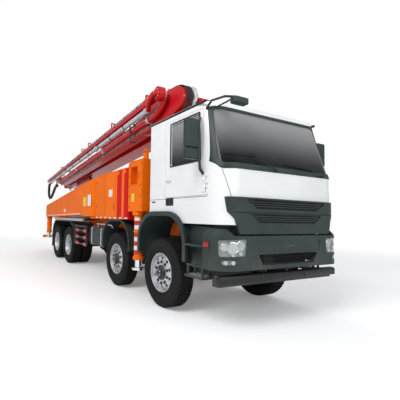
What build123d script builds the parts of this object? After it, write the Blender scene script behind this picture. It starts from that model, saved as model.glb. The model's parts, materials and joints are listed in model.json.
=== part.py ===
"""Concrete pump truck: four-axle chassis with cab, outriggers and a five-section folding boom.

Every place is measured in millimetres from the front axle: +X forward, +Y to the left, +Z up from
the ground. save() moves the finished piece into the part's own frame, whose origin is on the
ground below the middle of the whole truck.
"""
import os
from math import cos, hypot, pi, radians, sin

from build123d import *

# ------------------------------------------------------------------ overall and running gear
FRONT_OVERHANG = 1450.0        # front axle to the bumper's face
REAR_REACH = 10350.0           # front axle to the boom's tip
FRAME_SHIFT = (REAR_REACH - FRONT_OVERHANG) / 2
HALF_WIDTH = 1240.0            # body at the bumper and outriggers
PIN_PLAY = 0.05                # radial clearance of a shaft in its bore
SEAT_GAP = 0.3                 # face to face on pieces that only rest on each other
DOOR_GAP = 6.0                 # all round a door
GUARD_HALF = 640.0             # half the inside length of a front mudguard
GUARD_THICK = 18.0
GUARD_LIP = 70.0               # face of a front mudguard, from its inside
GUARD_Y = HALF_WIDTH - 35      # that face's outer side

TYRE_RADIUS = 540.0
TYRE_WIDTH = 300.0
SHOULDER_WIDTH = 234.0         # flat tread
BEAD_WIDTH = 190.0
SIDEWALL_RADIUS = 435.0        # where the tyre is widest
RIM_RADIUS = 286.0
RIM_WALL = 10.0
FLANGE_RADIUS = 306.0
FLANGE_WIDTH = 10.0
HUB_RADIUS = 112.0
HAND_HOLES = 10
HAND_HOLE_RADIUS = 27.0
HAND_HOLE_CIRCLE = 205.0
FRONT_WHEEL_Y = 1025.0         # middle of a front tyre
TWIN_Y = (760.0, 1080.0)       # middles of the two rear tyres
STUB_RADIUS = 38.0
KINGPIN_RADIUS = 25.0
KINGPIN_Y = 905.0

FRONT_AXLES = {"1": 0.0, "2": -1730.0}
REAR_AXLES = {"3": -5120.0, "4": -6470.0}
SIDES = {"left": 1, "right": -1}

# ------------------------------------------------------------------ chassis
RAIL_Y = 425.0                 # outer face of a frame rail
RAIL_FLANGE = 80.0
RAIL_PLATE = 10.0
RAIL_Z = (780.0, 1080.0)
RAIL_REAR = -8540.0
BUMPER_WALL = 70.0
SUBFRAME_Z = (RAIL_Z[1], 1260.0)
DECK_Z = (1300.0, 1360.0)
DECK_Y = 860.0

# ------------------------------------------------------------------ cab
CAB_REAR = -380.0
CAB_WALL = 60.0
CAB_FRONT = 1405.0
CAB_HALF = 1150.0
CAB_CORNER = 280.0             # plan radius of the two front corners
CAB_SILL = 1335.0
CAB_BELT = 2080.0              # the front leans back above this
CAB_ROOF = 3000.0
SCREEN_LEAN = 0.325            # how far it leans back for each unit up
PILLAR_STRIP = 45.0            # dark strip between the glass and the painted pillar
CAB_FLOOR = 1560.0
DOOR_EDGE_X = 1062.0
DOOR_TOP = CAB_ROOF - 95
WINDOW_TOP = CAB_ROOF - 150
SCREEN_TOP = CAB_ROOF - 115
SURROUND_TOP = CAB_ROOF - 75
DOOR_OUTLINE = ((95.0, 1714.0), (DOOR_EDGE_X, 1714.0), (DOOR_EDGE_X, 2140.0), (985.0, DOOR_TOP),
                (95.0, DOOR_TOP))
WINDOW_OUTLINE = ((240.0, 2200.0), (955.0, 2200.0), (925.0, WINDOW_TOP), (240.0, WINDOW_TOP))
SCREEN_OUTLINE = ((-1110.0, 2190.0), (-1070.0, 2125.0), (1070.0, 2125.0), (1110.0, 2190.0),
                  (1052.0, SCREEN_TOP), (-1052.0, SCREEN_TOP))
SURROUND_OUTLINE = ((-1149.0, 2150.0), (-1095.0, 2048.0), (1095.0, 2048.0), (1149.0, 2150.0),
                    (1092.0, SURROUND_TOP), (-1092.0, SURROUND_TOP))
PILLAR_EDGE = ((1108.0, 2040.0), (1500.0, 2040.0), (1500.0, CAB_ROOF - 70), (1028.0, CAB_ROOF - 70))
GLASS = 8.0
HINGE_PIN = 8.0
HINGE_X = DOOR_EDGE_X + DOOR_GAP
HINGE_Y = 1164.0
HINGE_HEIGHTS = (1785.0, 1935.0)
GRILLE_OPENINGS = (            # half widths at the top and the foot, lower and upper edge
    (800.0, 600.0, 1548.0, 1668.0),
    (715.0, 560.0, 1368.0, 1480.0),
)
LAMP_OUTLINES = {              # across and up, left side
    "headlamp": ((HALF_WIDTH - 425, 945.0), (HALF_WIDTH - 80, 940.0), (HALF_WIDTH - 75, 1150.0),
                 (HALF_WIDTH - 450, 1165.0)),
    "fog lamp": ((HALF_WIDTH - 275, 840.0), (HALF_WIDTH - 105, 840.0), (HALF_WIDTH - 105, 905.0),
                 (HALF_WIDTH - 275, 905.0)),
}
LAMP_ROUNDING = 28.0
BUMPER_REAR = 1130.0           # ends of its two sides
BUMPER_Z = (770.0, 1200.0)
BUMPER_CORNER = 330.0
FAIRING_RISE = 80.0

# ------------------------------------------------------------------ slewing and outriggers
SLEW_X = -1300.0
SLEW_PLATE_Z = (1980.0, 2050.0)
POST_X = (-1050.0, -515.0)
POST_Y = (870.0, 1235.0)
POST_Z = (1510.0, 2440.0)
BEAM_Z = (1566.0, 1954.0)
BEAM_SLOT = 6.0                # clearance round a sliding beam
BEAM_X = {"right": (-1029.0, -801.0), "left": (-764.0, -536.0)}
BEAM_TAIL_Y = 750.0
JACK_X = -800.0
JACK_Y = 1122.0
JACK_TUBE = 88.0
JACK_ROD = 66.0
EYE_RADIUS = 30.0              # lifting eye

ARM_PIN = (-3250.0, 1040.0)
ARM_PIN_RADIUS = 55.0
ARM_ROOT_RADIUS = 190.0
ARM_Z = (1400.0, 2275.0)
ARM_Y = (1000.0, 1230.0)
ARM_END_X = -8250.0
REAR_JACK = (-8130.0, 1115.0)

# ------------------------------------------------------------------ boom
BOOM_ROOT = (-450.0, 3559.0)   # first hinge
PACK_SLOPE = radians(5.0)      # the folded boom falls towards the rear
ELBOWS = {                     # along and above the folded boom's middle line
    "2": (9280.0, 0.0),
    "3": (700.0, 345.0),
    "4": (8900.0, 300.0),
    "5": (350.0, 255.0),
}
ELBOW_PIN = 45.0
EYE = 150.0                    # outer radius of an elbow's eye
BOOM_LANES = {                 # inner and outer face across the truck
    "1": (-150.0, 150.0),
    "2": (160.0, 420.0),
    "3": (-120.0, 120.0),
    "4": (-520.0, -300.0),
    "5": (-790.0, -670.0),
}
PIPE_RADIUS = 65.0
END_PIPE_RADIUS = 53.0         # on the last section
SADDLE = 110.0                 # from a barrel's middle into its section
PIPES = {                      # across, above the middle line, and the run along it
    "1": (-225.0, 0.0, 900.0, 8700.0),
    "2": (492.0, 20.0, 1100.0, 8900.0),
    "3": (-195.0, 335.0, 1200.0, 8300.0),
    "4": (-592.0, -20.0, 950.0, 8500.0),
    "5": (-730.0, 105.0, 800.0, 9500.0),
}
ELBOW_CYLINDERS = {            # carried by, across, above, barrel from, barrel to, rod's eye
    "2": ("1", 0.0, -236.0, 6300.0, 7900.0, 8950.0),
    "3": ("2", 290.0, 232.0, 3900.0, 2350.0, 1620.0),
    "4": ("3", 0.0, 480.0, 5900.0, 7500.0, 8560.0),
    "5": ("4", -410.0, 232.0, 4100.0, 2550.0, 1850.0),
}
SECTION_OUTLINES = {           # side view of each section: (along, above)
    "1": ((430, -200), (2400, -200), (8900, -150), (9280, -60), (9280, 60), (8900, 150), (2400, 190),
          (430, 200), (60, 90), (60, -90)),
    "2": ((9280, -70), (8900, -140), (1500, -150), (900, 60), (650, 240), (650, 460), (900, 460),
          (1500, 160), (8900, 120), (9280, 70)),
    "3": ((700, 230), (1100, 222), (8500, 222), (8900, 240), (8900, 360), (8500, 380), (1100, 450),
          (700, 460)),
    "4": ((8900, 210), (8500, -160), (1700, -178), (400, -150), (40, -90), (-110, 60), (-40, 250),
          (200, 350), (700, 370), (1250, 320), (1750, 165), (8300, 60), (8700, 330), (8900, 390)),
    "5": ((350, 200), (800, 195), (9700, 175), (9914, 190), (9914, 270), (9700, 285), (800, 325),
          (350, 320)),
}
LIFT_FOOT = (-1700.0, 2200.0)
LIFT_HEAD = (-950.0, 3219.0)
LIFT_RADIUS = 82.0
LIFT_ROD = 48.0
HOSE_RADIUS = 55.0
HOSE_ROUTE = ((9500.3, 105.0), (9740.0, 105.0), (9850.0, -330.0), (9540.0, -640.0), (8960.0, -420.0),
              (8630.0, -215.3), (8330.0, -205.0))
HOSE_BENDS = (170.0, 260.0, 300.0, 600.0, 500.0)
HOSE_FALL = 10.3 / 300.0       # of the run that the clip holds

# ------------------------------------------------------------------ rear end
HOPPER_TOP = (-9480.0, -8560.0, 720.0, 1450.0)       # rear, front, half width, height
HOPPER_BOTTOM = (-9200.0, -8650.0, 300.0, 640.0)
HOPPER_WALL = 12.0


# ------------------------------------------------------------------ helpers
def block(x, y, z):
    """Box between two values on each axis."""
    spans = (x, y, z)
    centre = [(low + high) / 2 for low, high in spans]
    return Pos(*centre) * Box(*[abs(high - low) for low, high in spans])


def outline(points, rounding=0.0):
    """Closed flat outline, its corners rounded by one radius."""
    face = make_face(Polyline(*points, close=True))
    if rounding:
        face = fillet(face.vertices(), rounding)
    return face


def side_plate(face, y):
    """Extrude an outline of (x, z) points between two places across the truck."""
    return extrude(Plane(origin=(0, y[1], 0), x_dir=(1, 0, 0), z_dir=(0, -1, 0)) * face, y[1] - y[0])


def cross_plate(face, x):
    """Extrude an outline of (y, z) points between two places along the truck."""
    return extrude(Plane(origin=(x[0], 0, 0), x_dir=(0, 1, 0), z_dir=(1, 0, 0)) * face, x[1] - x[0])


def bar(start, end, radius):
    """Round bar between two points."""
    run = Vector(*end) - Vector(*start)
    middle = Vector(*start) + run * 0.5
    return Plane(origin=middle, z_dir=run) * Cylinder(radius, run.length)


def cross_bar(x, y, z, radius):
    """Round bar across the truck at one place in its side view."""
    return bar((x, y[0], z), (x, y[1], z), radius)


def ring_y(inner, outer, y):
    """Plain ring about the Y axis."""
    return cross_bar(0, y, 0, outer) - cross_bar(0, (y[0] - 1, y[1] + 1), 0, inner)


def on_side(shape, side):
    """A piece drawn for the left side, mirrored for the right."""
    return shape if side == "left" else mirror(shape, about=Plane.XZ)


def both(shape):
    """A left-hand piece and its mirror image."""
    return [shape, mirror(shape, about=Plane.XZ)]


def save(name, *pieces):
    """Write one sub-part in the part's own frame."""
    solids = [solid for piece in pieces for solid in piece.solids()]
    moved = [Pos(FRAME_SHIFT, 0, 0) * solid for solid in solids]
    export_step(Compound(moved), f"parts/{name}.step")


# ------------------------------------------------------------------ wheels and axles
def tyre(y):
    """Tyre with flat tread and bulged sidewalls, centred on y."""
    half = TYRE_WIDTH / 2
    rim = RIM_RADIUS + SEAT_GAP
    profile = [(rim, -BEAD_WIDTH / 2), (SIDEWALL_RADIUS, -half), (TYRE_RADIUS, -SHOULDER_WIDTH / 2),
               (TYRE_RADIUS, SHOULDER_WIDTH / 2), (SIDEWALL_RADIUS, half), (rim, BEAD_WIDTH / 2)]
    return Pos(0, y, 0) * revolve(outline(profile), Axis.Y)


def rim_barrel(y):
    """Rim with a flange at each edge."""
    half = TYRE_WIDTH / 2 - 20
    barrel = ring_y(RIM_RADIUS - RIM_WALL, RIM_RADIUS, (y - half, y + half))
    for edge in (y - half, y + half - FLANGE_WIDTH):
        barrel += ring_y(RIM_RADIUS - RIM_WALL, FLANGE_RADIUS, (edge, edge + FLANGE_WIDTH))
    return barrel


def wheel_disc(y, dish):
    """Dished disc with hand holes from the hub out to the rim."""
    profile = [(HUB_RADIUS - 5, y + dish), (HAND_HOLE_CIRCLE - 45, y + dish),
               (RIM_RADIUS - RIM_WALL + 2, y), (RIM_RADIUS - RIM_WALL + 2, y + 14),
               (HAND_HOLE_CIRCLE - 40, y + dish + 14), (HUB_RADIUS - 5, y + dish + 14)]
    disc = revolve(outline(profile), Axis.Y)
    for number in range(HAND_HOLES):
        angle = 2 * pi * number / HAND_HOLES
        place = (HAND_HOLE_CIRCLE * cos(angle), HAND_HOLE_CIRCLE * sin(angle))
        disc -= cross_bar(place[0], (y - 60, y + 90), place[1], HAND_HOLE_RADIUS)
    return disc


def front_wheel():
    """Left single wheel: tyre and wheel, about its own axle line."""
    hub = cross_bar(0, (FRONT_WHEEL_Y - 30, FRONT_WHEEL_Y + 105), 0, HUB_RADIUS)
    hub += cross_bar(0, (FRONT_WHEEL_Y + 105, FRONT_WHEEL_Y + 140), 0, HUB_RADIUS * 0.62)
    hub -= cross_bar(0, (FRONT_WHEEL_Y - 31, FRONT_WHEEL_Y + 70), 0, STUB_RADIUS + PIN_PLAY)
    wheel = rim_barrel(FRONT_WHEEL_Y) + wheel_disc(FRONT_WHEEL_Y + 50, 45) + hub
    return [tyre(FRONT_WHEEL_Y), wheel]


def twin_wheel():
    """Left twin wheel: two tyres on one hub."""
    inner, outer = TWIN_Y
    seam = (inner + outer) / 2
    hub = cross_bar(0, (seam - 170, seam + 150), 0, HUB_RADIUS + 20)
    hub += cross_bar(0, (seam + 150, seam + 215), 0, HUB_RADIUS * 0.9)
    hub -= cross_bar(0, (seam - 171, seam + 120), 0, STUB_RADIUS * 1.4 + PIN_PLAY)
    wheel = rim_barrel(inner) + rim_barrel(outer) + hub
    wheel += ring_y(RIM_RADIUS - RIM_WALL, RIM_RADIUS, (inner + 125, outer - 125))
    wheel += wheel_disc(seam - 10, 0)
    return [tyre(inner), tyre(outer), wheel]


def knuckle():
    """Left steering knuckle with its kingpin and stub axle, about its own axle line."""
    shape = bar((0, KINGPIN_Y, -108), (0, KINGPIN_Y, 108), KINGPIN_RADIUS)
    for low, high in ((-108, -66), (66, 108)):
        shape += block((-50, 50), (KINGPIN_Y - 45, 975), (low, high))
    shape += cross_bar(0, (965, 985), 0, 180)
    shape += cross_bar(0, (984, FRONT_WHEEL_Y + 60), 0, STUB_RADIUS)
    shape += block((-230, -40), (KINGPIN_Y + 20, 975), (-100, -72))
    return shape


def front_axle_set(x):
    """Dropped axle beam and a leaf spring on each side."""
    line = TYRE_RADIUS
    low, high = line - 60, line + 60
    half = [(0, line - 130), (600, line - 130), (700, low), (KINGPIN_Y - 40, low), (KINGPIN_Y - 40, high),
            (680, high), (560, line - 10), (0, line - 10)]
    beam = cross_plate(outline(half), (x - 55, x + 55))
    eye = bar((x, KINGPIN_Y, low), (x, KINGPIN_Y, high), 60)
    eye -= bar((x, KINGPIN_Y, low - 10), (x, KINGPIN_Y, high + 10), KINGPIN_RADIUS + PIN_PLAY)
    beam = (beam + block((x - 55, x + 55), (380, 460), (line - 20, high))
            - bar((x, KINGPIN_Y, low - 10), (x, KINGPIN_Y, high + 10), 59) + eye)
    beam = beam + mirror(beam, about=Plane.XZ)
    leaves = [(-640, 700), (-600, 740), (0, high + 62), (600, 740), (640, 700), (0, high)]
    spring = side_plate(outline([(x + along, up) for along, up in leaves]), (385, 455))
    for end in (-610, 610):
        spring += block((x + end - 22, x + end + 22), (385, 455), (700, RAIL_Z[0]))
    return [beam] + both(spring)


def rear_axle_set(x):
    """Driven axle housing with its brake drums and springs."""
    spindle = STUB_RADIUS * 1.4
    seat = TYRE_RADIUS + 100
    housing = cross_bar(x, (-700, 700), TYRE_RADIUS, 72)
    housing += Pos(x, 0, TYRE_RADIUS) * Sphere(205)
    for side in SIDES.values():
        housing += cross_bar(x, (side * 690, side * 735), TYRE_RADIUS, 200)
        housing += cross_bar(x, (side * 700, side * 1030), TYRE_RADIUS, spindle)
        housing += block((x - 70, x + 70), sorted((side * 380, side * 460)), (TYRE_RADIUS, seat))
    leaves = [(-560, 700), (-520, 735), (0, seat + 75), (520, 735), (560, 700), (0, seat)]
    spring = side_plate(outline([(x + along, up) for along, up in leaves]), (385, 455))
    for end in (-530, 530):
        spring += block((x + end - 22, x + end + 22), (385, 455), (700, RAIL_Z[0]))
    return [housing] + both(spring)


def make_running_gear():
    """Wheels, knuckles, axles and the propeller shafts."""
    front = [piece for x in FRONT_AXLES.values() for piece in front_axle_set(x)]
    save("front_axles", *front)
    rear = [piece for x in REAR_AXLES.values() for piece in rear_axle_set(x)]
    shafts = [bar((-757, 0, 745), (REAR_AXLES["3"] + 200, 0, 600), 48),
              bar((REAR_AXLES["3"] - 204, 0, TYRE_RADIUS), (REAR_AXLES["4"] + 204, 0, TYRE_RADIUS), 45)]
    save("rear_axles", *rear, *shafts)
    for number, x in FRONT_AXLES.items():
        for side in SIDES:
            place = Pos(x, 0, TYRE_RADIUS)
            save(f"knuckle_{number}_{side}", place * on_side(knuckle(), side))
            save(f"wheel_{number}_{side}", *[place * on_side(piece, side) for piece in front_wheel()])
    for number, x in REAR_AXLES.items():
        for side in SIDES:
            place = Pos(x, 0, TYRE_RADIUS)
            save(f"wheel_{number}_{side}", *[place * on_side(piece, side) for piece in twin_wheel()])


# ------------------------------------------------------------------ chassis
def make_chassis():
    """Ladder frame with its cross members and front under-run bar."""
    low, high = RAIL_Z
    inner = RAIL_Y - RAIL_FLANGE
    channel = [(RAIL_Y, low), (inner, low), (inner, low + RAIL_PLATE),
               (RAIL_Y - RAIL_PLATE, low + RAIL_PLATE), (RAIL_Y - RAIL_PLATE, high - RAIL_PLATE),
               (inner, high - RAIL_PLATE), (inner, high), (RAIL_Y, high)]
    front = FRONT_OVERHANG - BUMPER_WALL
    rail = cross_plate(outline(channel), (RAIL_REAR, front))
    hanger = side_plate(outline([(1000, low + 5), (1150, low + 5), (1300, 669), (1300, 560), (1190, 560)]),
                        (RAIL_Y - 30, RAIL_Y))
    frame = rail + hanger
    frame = frame + mirror(frame, about=Plane.XZ)
    for x in (1150, -700, -2300, -3600, -4300, -5795, -7300, RAIL_REAR + 60):
        frame += cross_bar(x, (-RAIL_Y + 5, RAIL_Y - 5), 950, 45)
    frame += block((1190, 1300), (-1127, 1127), (556, 669))
    for x, top in (((1335, 1379), CAB_SILL), ((-370, -300), CAB_FLOOR)):
        for side in SIDES.values():
            frame += block(x, sorted((side * inner, side * RAIL_Y)), (high - 1, top - SEAT_GAP))
    save("chassis_frame", frame)
    engine = block((-350, 900), (-330, 330), (700, 1300))
    engine += block((900, 960), (-300, 300), (760, 1260))
    engine += block((-750, -350), (-180, 180), (640, 900)) - cross_bar(-700, (-400, 400), 950, 60)
    for x in (-250, 800):
        for side in SIDES.values():
            engine += block((x - 50, x + 50), sorted((side * 320, side * 405)), (low + RAIL_PLATE + SEAT_GAP, 850))
    save("engine_block", engine)


def guard_band(centre, half_length, low, high, corner, y, thick=GUARD_THICK):
    """Mudguard: a band bent over a wheel, round at its upper corners."""
    outer = Pos(centre, (low + high - GUARD_THICK + thick) / 2) * Rectangle(
        2 * (half_length + thick), high - GUARD_THICK + thick - low)
    top = outer.vertices().group_by(Axis.Y)[-1]
    outer = fillet(top, corner + thick)
    inner = Pos(centre, (low + high) / 2 - GUARD_THICK) * Rectangle(2 * half_length, high - low)
    inner = fillet(inner.vertices().group_by(Axis.Y)[-1], corner)
    return side_plate(outer - inner, y)


def make_mudguards():
    """Front, second and tandem mudguards on both sides."""
    first = guard_band(0, GUARD_HALF, 800, 1455, 420, (560, 1200))
    first += guard_band(0, GUARD_HALF, 800, 1455, 420, (GUARD_Y - 45, GUARD_Y), GUARD_LIP)
    second = guard_band(FRONT_AXLES["2"], GUARD_HALF, 760, 1335, 430, (DECK_Y, 1200))
    second += guard_band(FRONT_AXLES["2"], GUARD_HALF, 760, 1335, 430, (GUARD_Y - 35, GUARD_Y), 30)
    middle = (REAR_AXLES["3"] + REAR_AXLES["4"]) / 2
    tandem = guard_band(middle, 1300, 700, 1250, 480, (600, 1228))
    tandem += cross_bar(middle, (RAIL_Y, 610), 1236, 12)
    save("mudguards", *both(first), *both(second), *both(tandem))


def guard_filling(centre, half_length, high, corner):
    """Outline of the open space under a mudguard."""
    face = Pos(centre, high / 2) * Rectangle(2 * half_length, high)
    return fillet(face.vertices().group_by(Axis.Y)[-1], corner)


def make_side_guards():
    """Tank, battery box and side rails between the second and third axles."""
    tank = block((-3400, -2470), (620, 1150), (700, 1150))
    tank = fillet(tank.edges().filter_by(Axis.X), 70)
    tank += block((-3200, -3140), (RAIL_Y, 640), (850, 1000))
    tank += block((-2760, -2700), (RAIL_Y, 640), (850, 1000))
    rails = block((-3560, -3500), (RAIL_Y, 1210), (900, 960))
    rails += block((-4420, -4360), (RAIL_Y, 1210), (900, 960))
    for x in (-3560, -4420):
        rails += block((x, x + 60), (1160, 1210), (640, 1160))
    for z in (650, 820, 1000, 1110):
        rails += block((-4460, -3470), (1195, 1225), (z, z + 45))
    save("side_guards", *both(tank), *both(rails))


def make_rear_end():
    """Open hopper with its rear bar, the grate over it and the pumping cylinders."""
    def funnel(inset, top_up, bottom_up):
        rear, front, half, high = HOPPER_TOP
        rear_low, front_low, half_low, low = HOPPER_BOTTOM
        top = Plane(origin=((rear + front) / 2, 0, high + top_up)) * Rectangle(
            front - rear - 2 * inset, 2 * (half - inset))
        bottom = Plane(origin=((rear_low + front_low) / 2, 0, low + bottom_up)) * Rectangle(
            front_low - rear_low - 2 * inset, 2 * (half_low - inset))
        return loft([bottom.face(), top.face()], ruled=True)

    hopper = funnel(0, 0, 0) - funnel(HOPPER_WALL, 0.01, HOPPER_WALL)
    rear, front, half, high = HOPPER_TOP
    rim = block((rear - 30, front + 20), (-half - 30, half + 30), (high - 14, high))
    rim -= block((rear + 20, front - 20), (-half + 20, half - 20), (high - 20, high + 10))
    hopper += rim
    for side in SIDES.values():
        hopper += block((-9350, -9100), sorted((side * 270, side * 310)), (480, 700))
        lug = block((front - 50, front - 10), sorted((side * 612, side * 640)), (high - 1, high + 50))
        hopper += lug + cross_bar(front - 30, sorted((side * 585, side * 613)), high + 28, 9)
    hopper += block((-9350, -9270), (-1100, 1100), (480, 590))
    hopper += block((RAIL_REAR, front - 60), (-380, 380), (980, 1060))
    hopper -= funnel(HOPPER_WALL, 0.01, HOPPER_WALL)
    save("hopper", hopper)

    grate = block((rear + 30, front - 45), (-600, 600), (high + 6, high + 30))
    for number in range(9):
        y = -520 + number * 130
        grate -= block((rear + 70, front - 90), (y - 45, y + 45), (high, high + 40))
    grate += cross_bar(front - 30, (-605, 605), high + 28, 20)
    for side in SIDES.values():
        grate -= cross_bar(front - 30, sorted((side * 580, side * 606)), high + 28, 9 + PIN_PLAY)
    save("hopper_grate", grate)

    pump = []
    for y in (-170, 170):
        cylinder = bar((RAIL_REAR, y, 1400), (-6450, y, 1400), 118)
        cylinder += bar((-6300, y, 1400), (-4960, y, 1400), 72)
        pump.append(cylinder)
    box = block((-6460, -6290), (-330, 330), (SUBFRAME_Z[1], 1600))
    unit = box + pump[0] + pump[1]
    unit += block((-5060, -4960), (-320, 320), (SUBFRAME_Z[1], 1520))
    save("pump_unit", unit)


# ------------------------------------------------------------------ cab
def cab_form(inset):
    """The cab's outer shape, moved inwards by an inset."""
    front, rear, half = CAB_FRONT - inset, CAB_REAR + inset, CAB_HALF - inset
    plan = Pos((front + rear) / 2, 0, CAB_SILL) * Rectangle(front - rear, 2 * half)
    plan = fillet(plan.vertices().group_by(Axis.X)[-1], CAB_CORNER - inset)
    lower = extrude(plan, CAB_BELT - CAB_SILL)
    lean = Vector(-SCREEN_LEAN, 0, 1)
    rise = CAB_ROOF - CAB_BELT
    upper = extrude(Pos(0, 0, CAB_BELT - CAB_SILL) * plan, rise * lean.length, dir=lean.normalized())
    upper &= block((rear, 2 * front), (-2 * half, 2 * half), (CAB_BELT, CAB_ROOF))
    return lower + upper


def shell_band(outer_inset, inner_inset):
    """Skin between two insets of the cab's form."""
    return cab_form(outer_inset) - cab_form(inner_inset)


def door_hinge(z, part):
    """One hinge on the door's front edge: the cab's two lugs and pin, or the door's barrel."""
    if part == "cab":
        shape = bar((HINGE_X, HINGE_Y, z - 50), (HINGE_X, HINGE_Y, z + 50), HINGE_PIN)
        for low, high in ((z - 62, z - 32), (z + 32, z + 62)):
            shape += block((HINGE_X - 2, HINGE_X + 48), (1135, HINGE_Y + 10), (low, high))
        return shape
    leaf = block((HINGE_X - 60, HINGE_X - 14), (CAB_HALF - 10, HINGE_Y + 10), (z - 26, z + 26))
    leaf += block((HINGE_X - 60, HINGE_X), (CAB_HALF + 2, HINGE_Y + 10), (z - 26, z + 26))
    leaf += bar((HINGE_X, HINGE_Y, z - 26), (HINGE_X, HINGE_Y, z + 26), 12)
    return leaf - bar((HINGE_X, HINGE_Y, z - 30), (HINGE_X, HINGE_Y, z + 30), HINGE_PIN + PIN_PLAY)


def make_cab():
    """Hollow cab, its glass, grille, doors with their mirrors, and the inside."""
    form = cab_form(0)
    room = block((-2000, 2000), (-1200, 1200), (CAB_FLOOR + CAB_WALL, CAB_ROOF - CAB_WALL))
    inside = cab_form(CAB_WALL) & room
    side_skin = CAB_HALF - CAB_WALL
    below = block((CAB_REAR - 10, 480), (-side_skin, side_skin), (1300, CAB_FLOOR))
    recess = block((560, 1330), (-1060, 1060), (1300, CAB_FLOOR - 60))
    door_hole = side_plate(outline(DOOR_OUTLINE, 30), (1000, 1250))
    screen = screen_zone(SURROUND_OUTLINE, 0)
    arch = side_plate(guard_filling(0, 662, 1477, 442), (-1300, 1300))
    shell = form - inside - below - recess - arch - door_hole - mirror(door_hole, about=Plane.XZ) - screen
    rear_window = cross_plate(outline([(-620, 2300), (620, 2300), (620, CAB_ROOF - 250), (-620, CAB_ROOF - 250)], 60),
                              (CAB_REAR - 10, CAB_REAR + CAB_WALL + 10))
    shell -= rear_window
    for z in HINGE_HEIGHTS:
        hinge = door_hinge(z, "cab")
        shell += hinge + mirror(hinge, about=Plane.XZ)
    save("cab_shell", shell)

    save("windshield", shell_band(12, 12 + GLASS) & screen_zone(SCREEN_OUTLINE, 0, PILLAR_STRIP))
    surround = shell_band(-6, 30) & screen_zone(SURROUND_OUTLINE, SEAT_GAP)
    save("screen_surround", surround - screen_zone(SCREEN_OUTLINE, -SEAT_GAP, PILLAR_STRIP - SEAT_GAP), ramp_mirror())

    skin = shell_band(0, CAB_WALL)
    hole = side_plate(outline(WINDOW_OUTLINE, 40), (1000, 1250))
    blank = skin & side_plate(offset(outline(DOOR_OUTLINE, 30), -DOOR_GAP), (1000, 1250))
    door = blank - hole
    for z in HINGE_HEIGHTS:
        door += door_hinge(z, "door")
    glass = shell_band(24, 24 + GLASS) & side_plate(offset(outline(WINDOW_OUTLINE, 40), -SEAT_GAP),
                                                   (1000, 1250))
    for side in SIDES:
        save(f"door_{side}", on_side(door, side))
        save(f"door_glass_{side}", on_side(glass, side))
        save(f"door_mirror_{side}", on_side(door_mirror(), side))
    make_grille()
    make_cab_inside()


def screen_zone(points, gap, strip=0.0):
    """Solid that takes the windscreen's area out of the cab's skin, ending at the pillars."""
    edge = side_plate(outline([(x + strip if x < 1400 else x, z) for x, z in PILLAR_EDGE]), (-1200, 1200))
    return cross_plate(offset(outline(points, 45), -gap) if gap else outline(points, 45), (1000, 1500)) & edge


def rounded_block(x, y, z, radius):
    """Moulded box with its long and upright edges rounded."""
    shape = block(x, y, z)
    shape = fillet(shape.edges().filter_by(Axis.Z), radius)
    return fillet(shape.edges().group_by(Axis.Z)[-1] + shape.edges().group_by(Axis.Z)[0], radius * 0.45)


def door_mirror():
    """Main and wide-angle mirror on their bent arms, for the left door."""
    housing = rounded_block((965, 1050), (1235, 1455), (2335, 2715), 36)
    housing += rounded_block((965, 1048), (1240, 1452), (2180, 2322), 34)
    housing += block((990, 1030), (1290, 1400), (2300, 2350))
    post = bar((1030, 1236, 2230), (1030, 1236, 2690), 17)
    upper = bar((1030, 1236, 2680), (975, 1175, 2760), 15) + bar((975, 1175, 2760), (940, CAB_HALF + 3, 2775), 15)
    lower = bar((1030, 1236, 2240), (1034, 1215, 2060), 17) + bar((1034, 1215, 2060), (1020, CAB_HALF + 3, 2000), 19)
    shape = housing + post + upper + lower
    shape += bar((1034, 1215, 2060), (1034, 1215, 2061), 17) + Pos(1034, 1215, 2060) * Sphere(19)
    shape += Pos(1030, 1236, 2240) * Sphere(18) + Pos(1030, 1236, 2685) * Sphere(18) + Pos(975, 1175, 2760) * Sphere(16)
    return shape - cab_form(-SEAT_GAP)


def ramp_mirror():
    """Mirror that hangs ahead of the windscreen's upper right corner."""
    joints = [(1030, -1112, 2890), (1130, -1115, 2965), (1300, -1040, 2982), (1385, -930, 2970)]
    arm = None
    for start, end in zip(joints, joints[1:]):
        piece = bar(start, end, 15) + Pos(*start) * Sphere(15)
        arm = piece if arm is None else arm + piece
    strut = bar((1100, -1030, 2890), joints[3], 11)
    head = rounded_block((1325, 1438), (-990, -750), (2885, 2965), 30)
    return (arm + strut + head) - cab_form(-6 - SEAT_GAP)


def make_grille():
    """Dark grille skin over the cab's nose, with louvres in its two openings."""
    face = outline([(-1065, 1690), (1065, 1690), (1040, 1500), (955, 1410), (900, 1222),
                    (-900, 1222), (-955, 1410), (-1040, 1500)], 12)
    nose = cross_plate(face, (1090, 1460))
    grown = cab_form(-32) + Pos(0, 0, -120) * cab_form(-32)
    core = cab_form(0) + Pos(0, 0, -120) * cab_form(0)
    skin = (grown - core) & nose
    upper, lower = [outline([(-top, high), (top, high), (top - 25, high - 28), (foot, low), (-foot, low),
                             (25 - top, high - 28)], 10) for top, foot, low, high in GRILLE_OPENINGS]
    skin -= cross_plate(outline([(-985, 1500), (985, 1500), (970, 1488), (-970, 1488)]), (1050, 1460)) - (
        cab_form(-18) + Pos(0, 0, -120) * cab_form(-18))
    back = (cab_form(-10) + Pos(0, 0, -120) * cab_form(-10) - core)
    for opening in (upper, lower):
        skin -= cross_plate(opening, (1050, 1460))
        skin += back & cross_plate(opening, (1050, 1460))
    blades = cab_form(-26) + Pos(0, 0, -120) * cab_form(-26) - core
    for opening, (_, _, low, high) in zip((upper, lower), GRILLE_OPENINGS):
        for number in range(1, 4):
            z = low + (high - low) * number / 4
            skin += blades & block((1050, 1460), (-860, 860), (z - 6, z + 6)) & cross_plate(opening, (1050, 1460))
    save("grille", skin)


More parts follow.
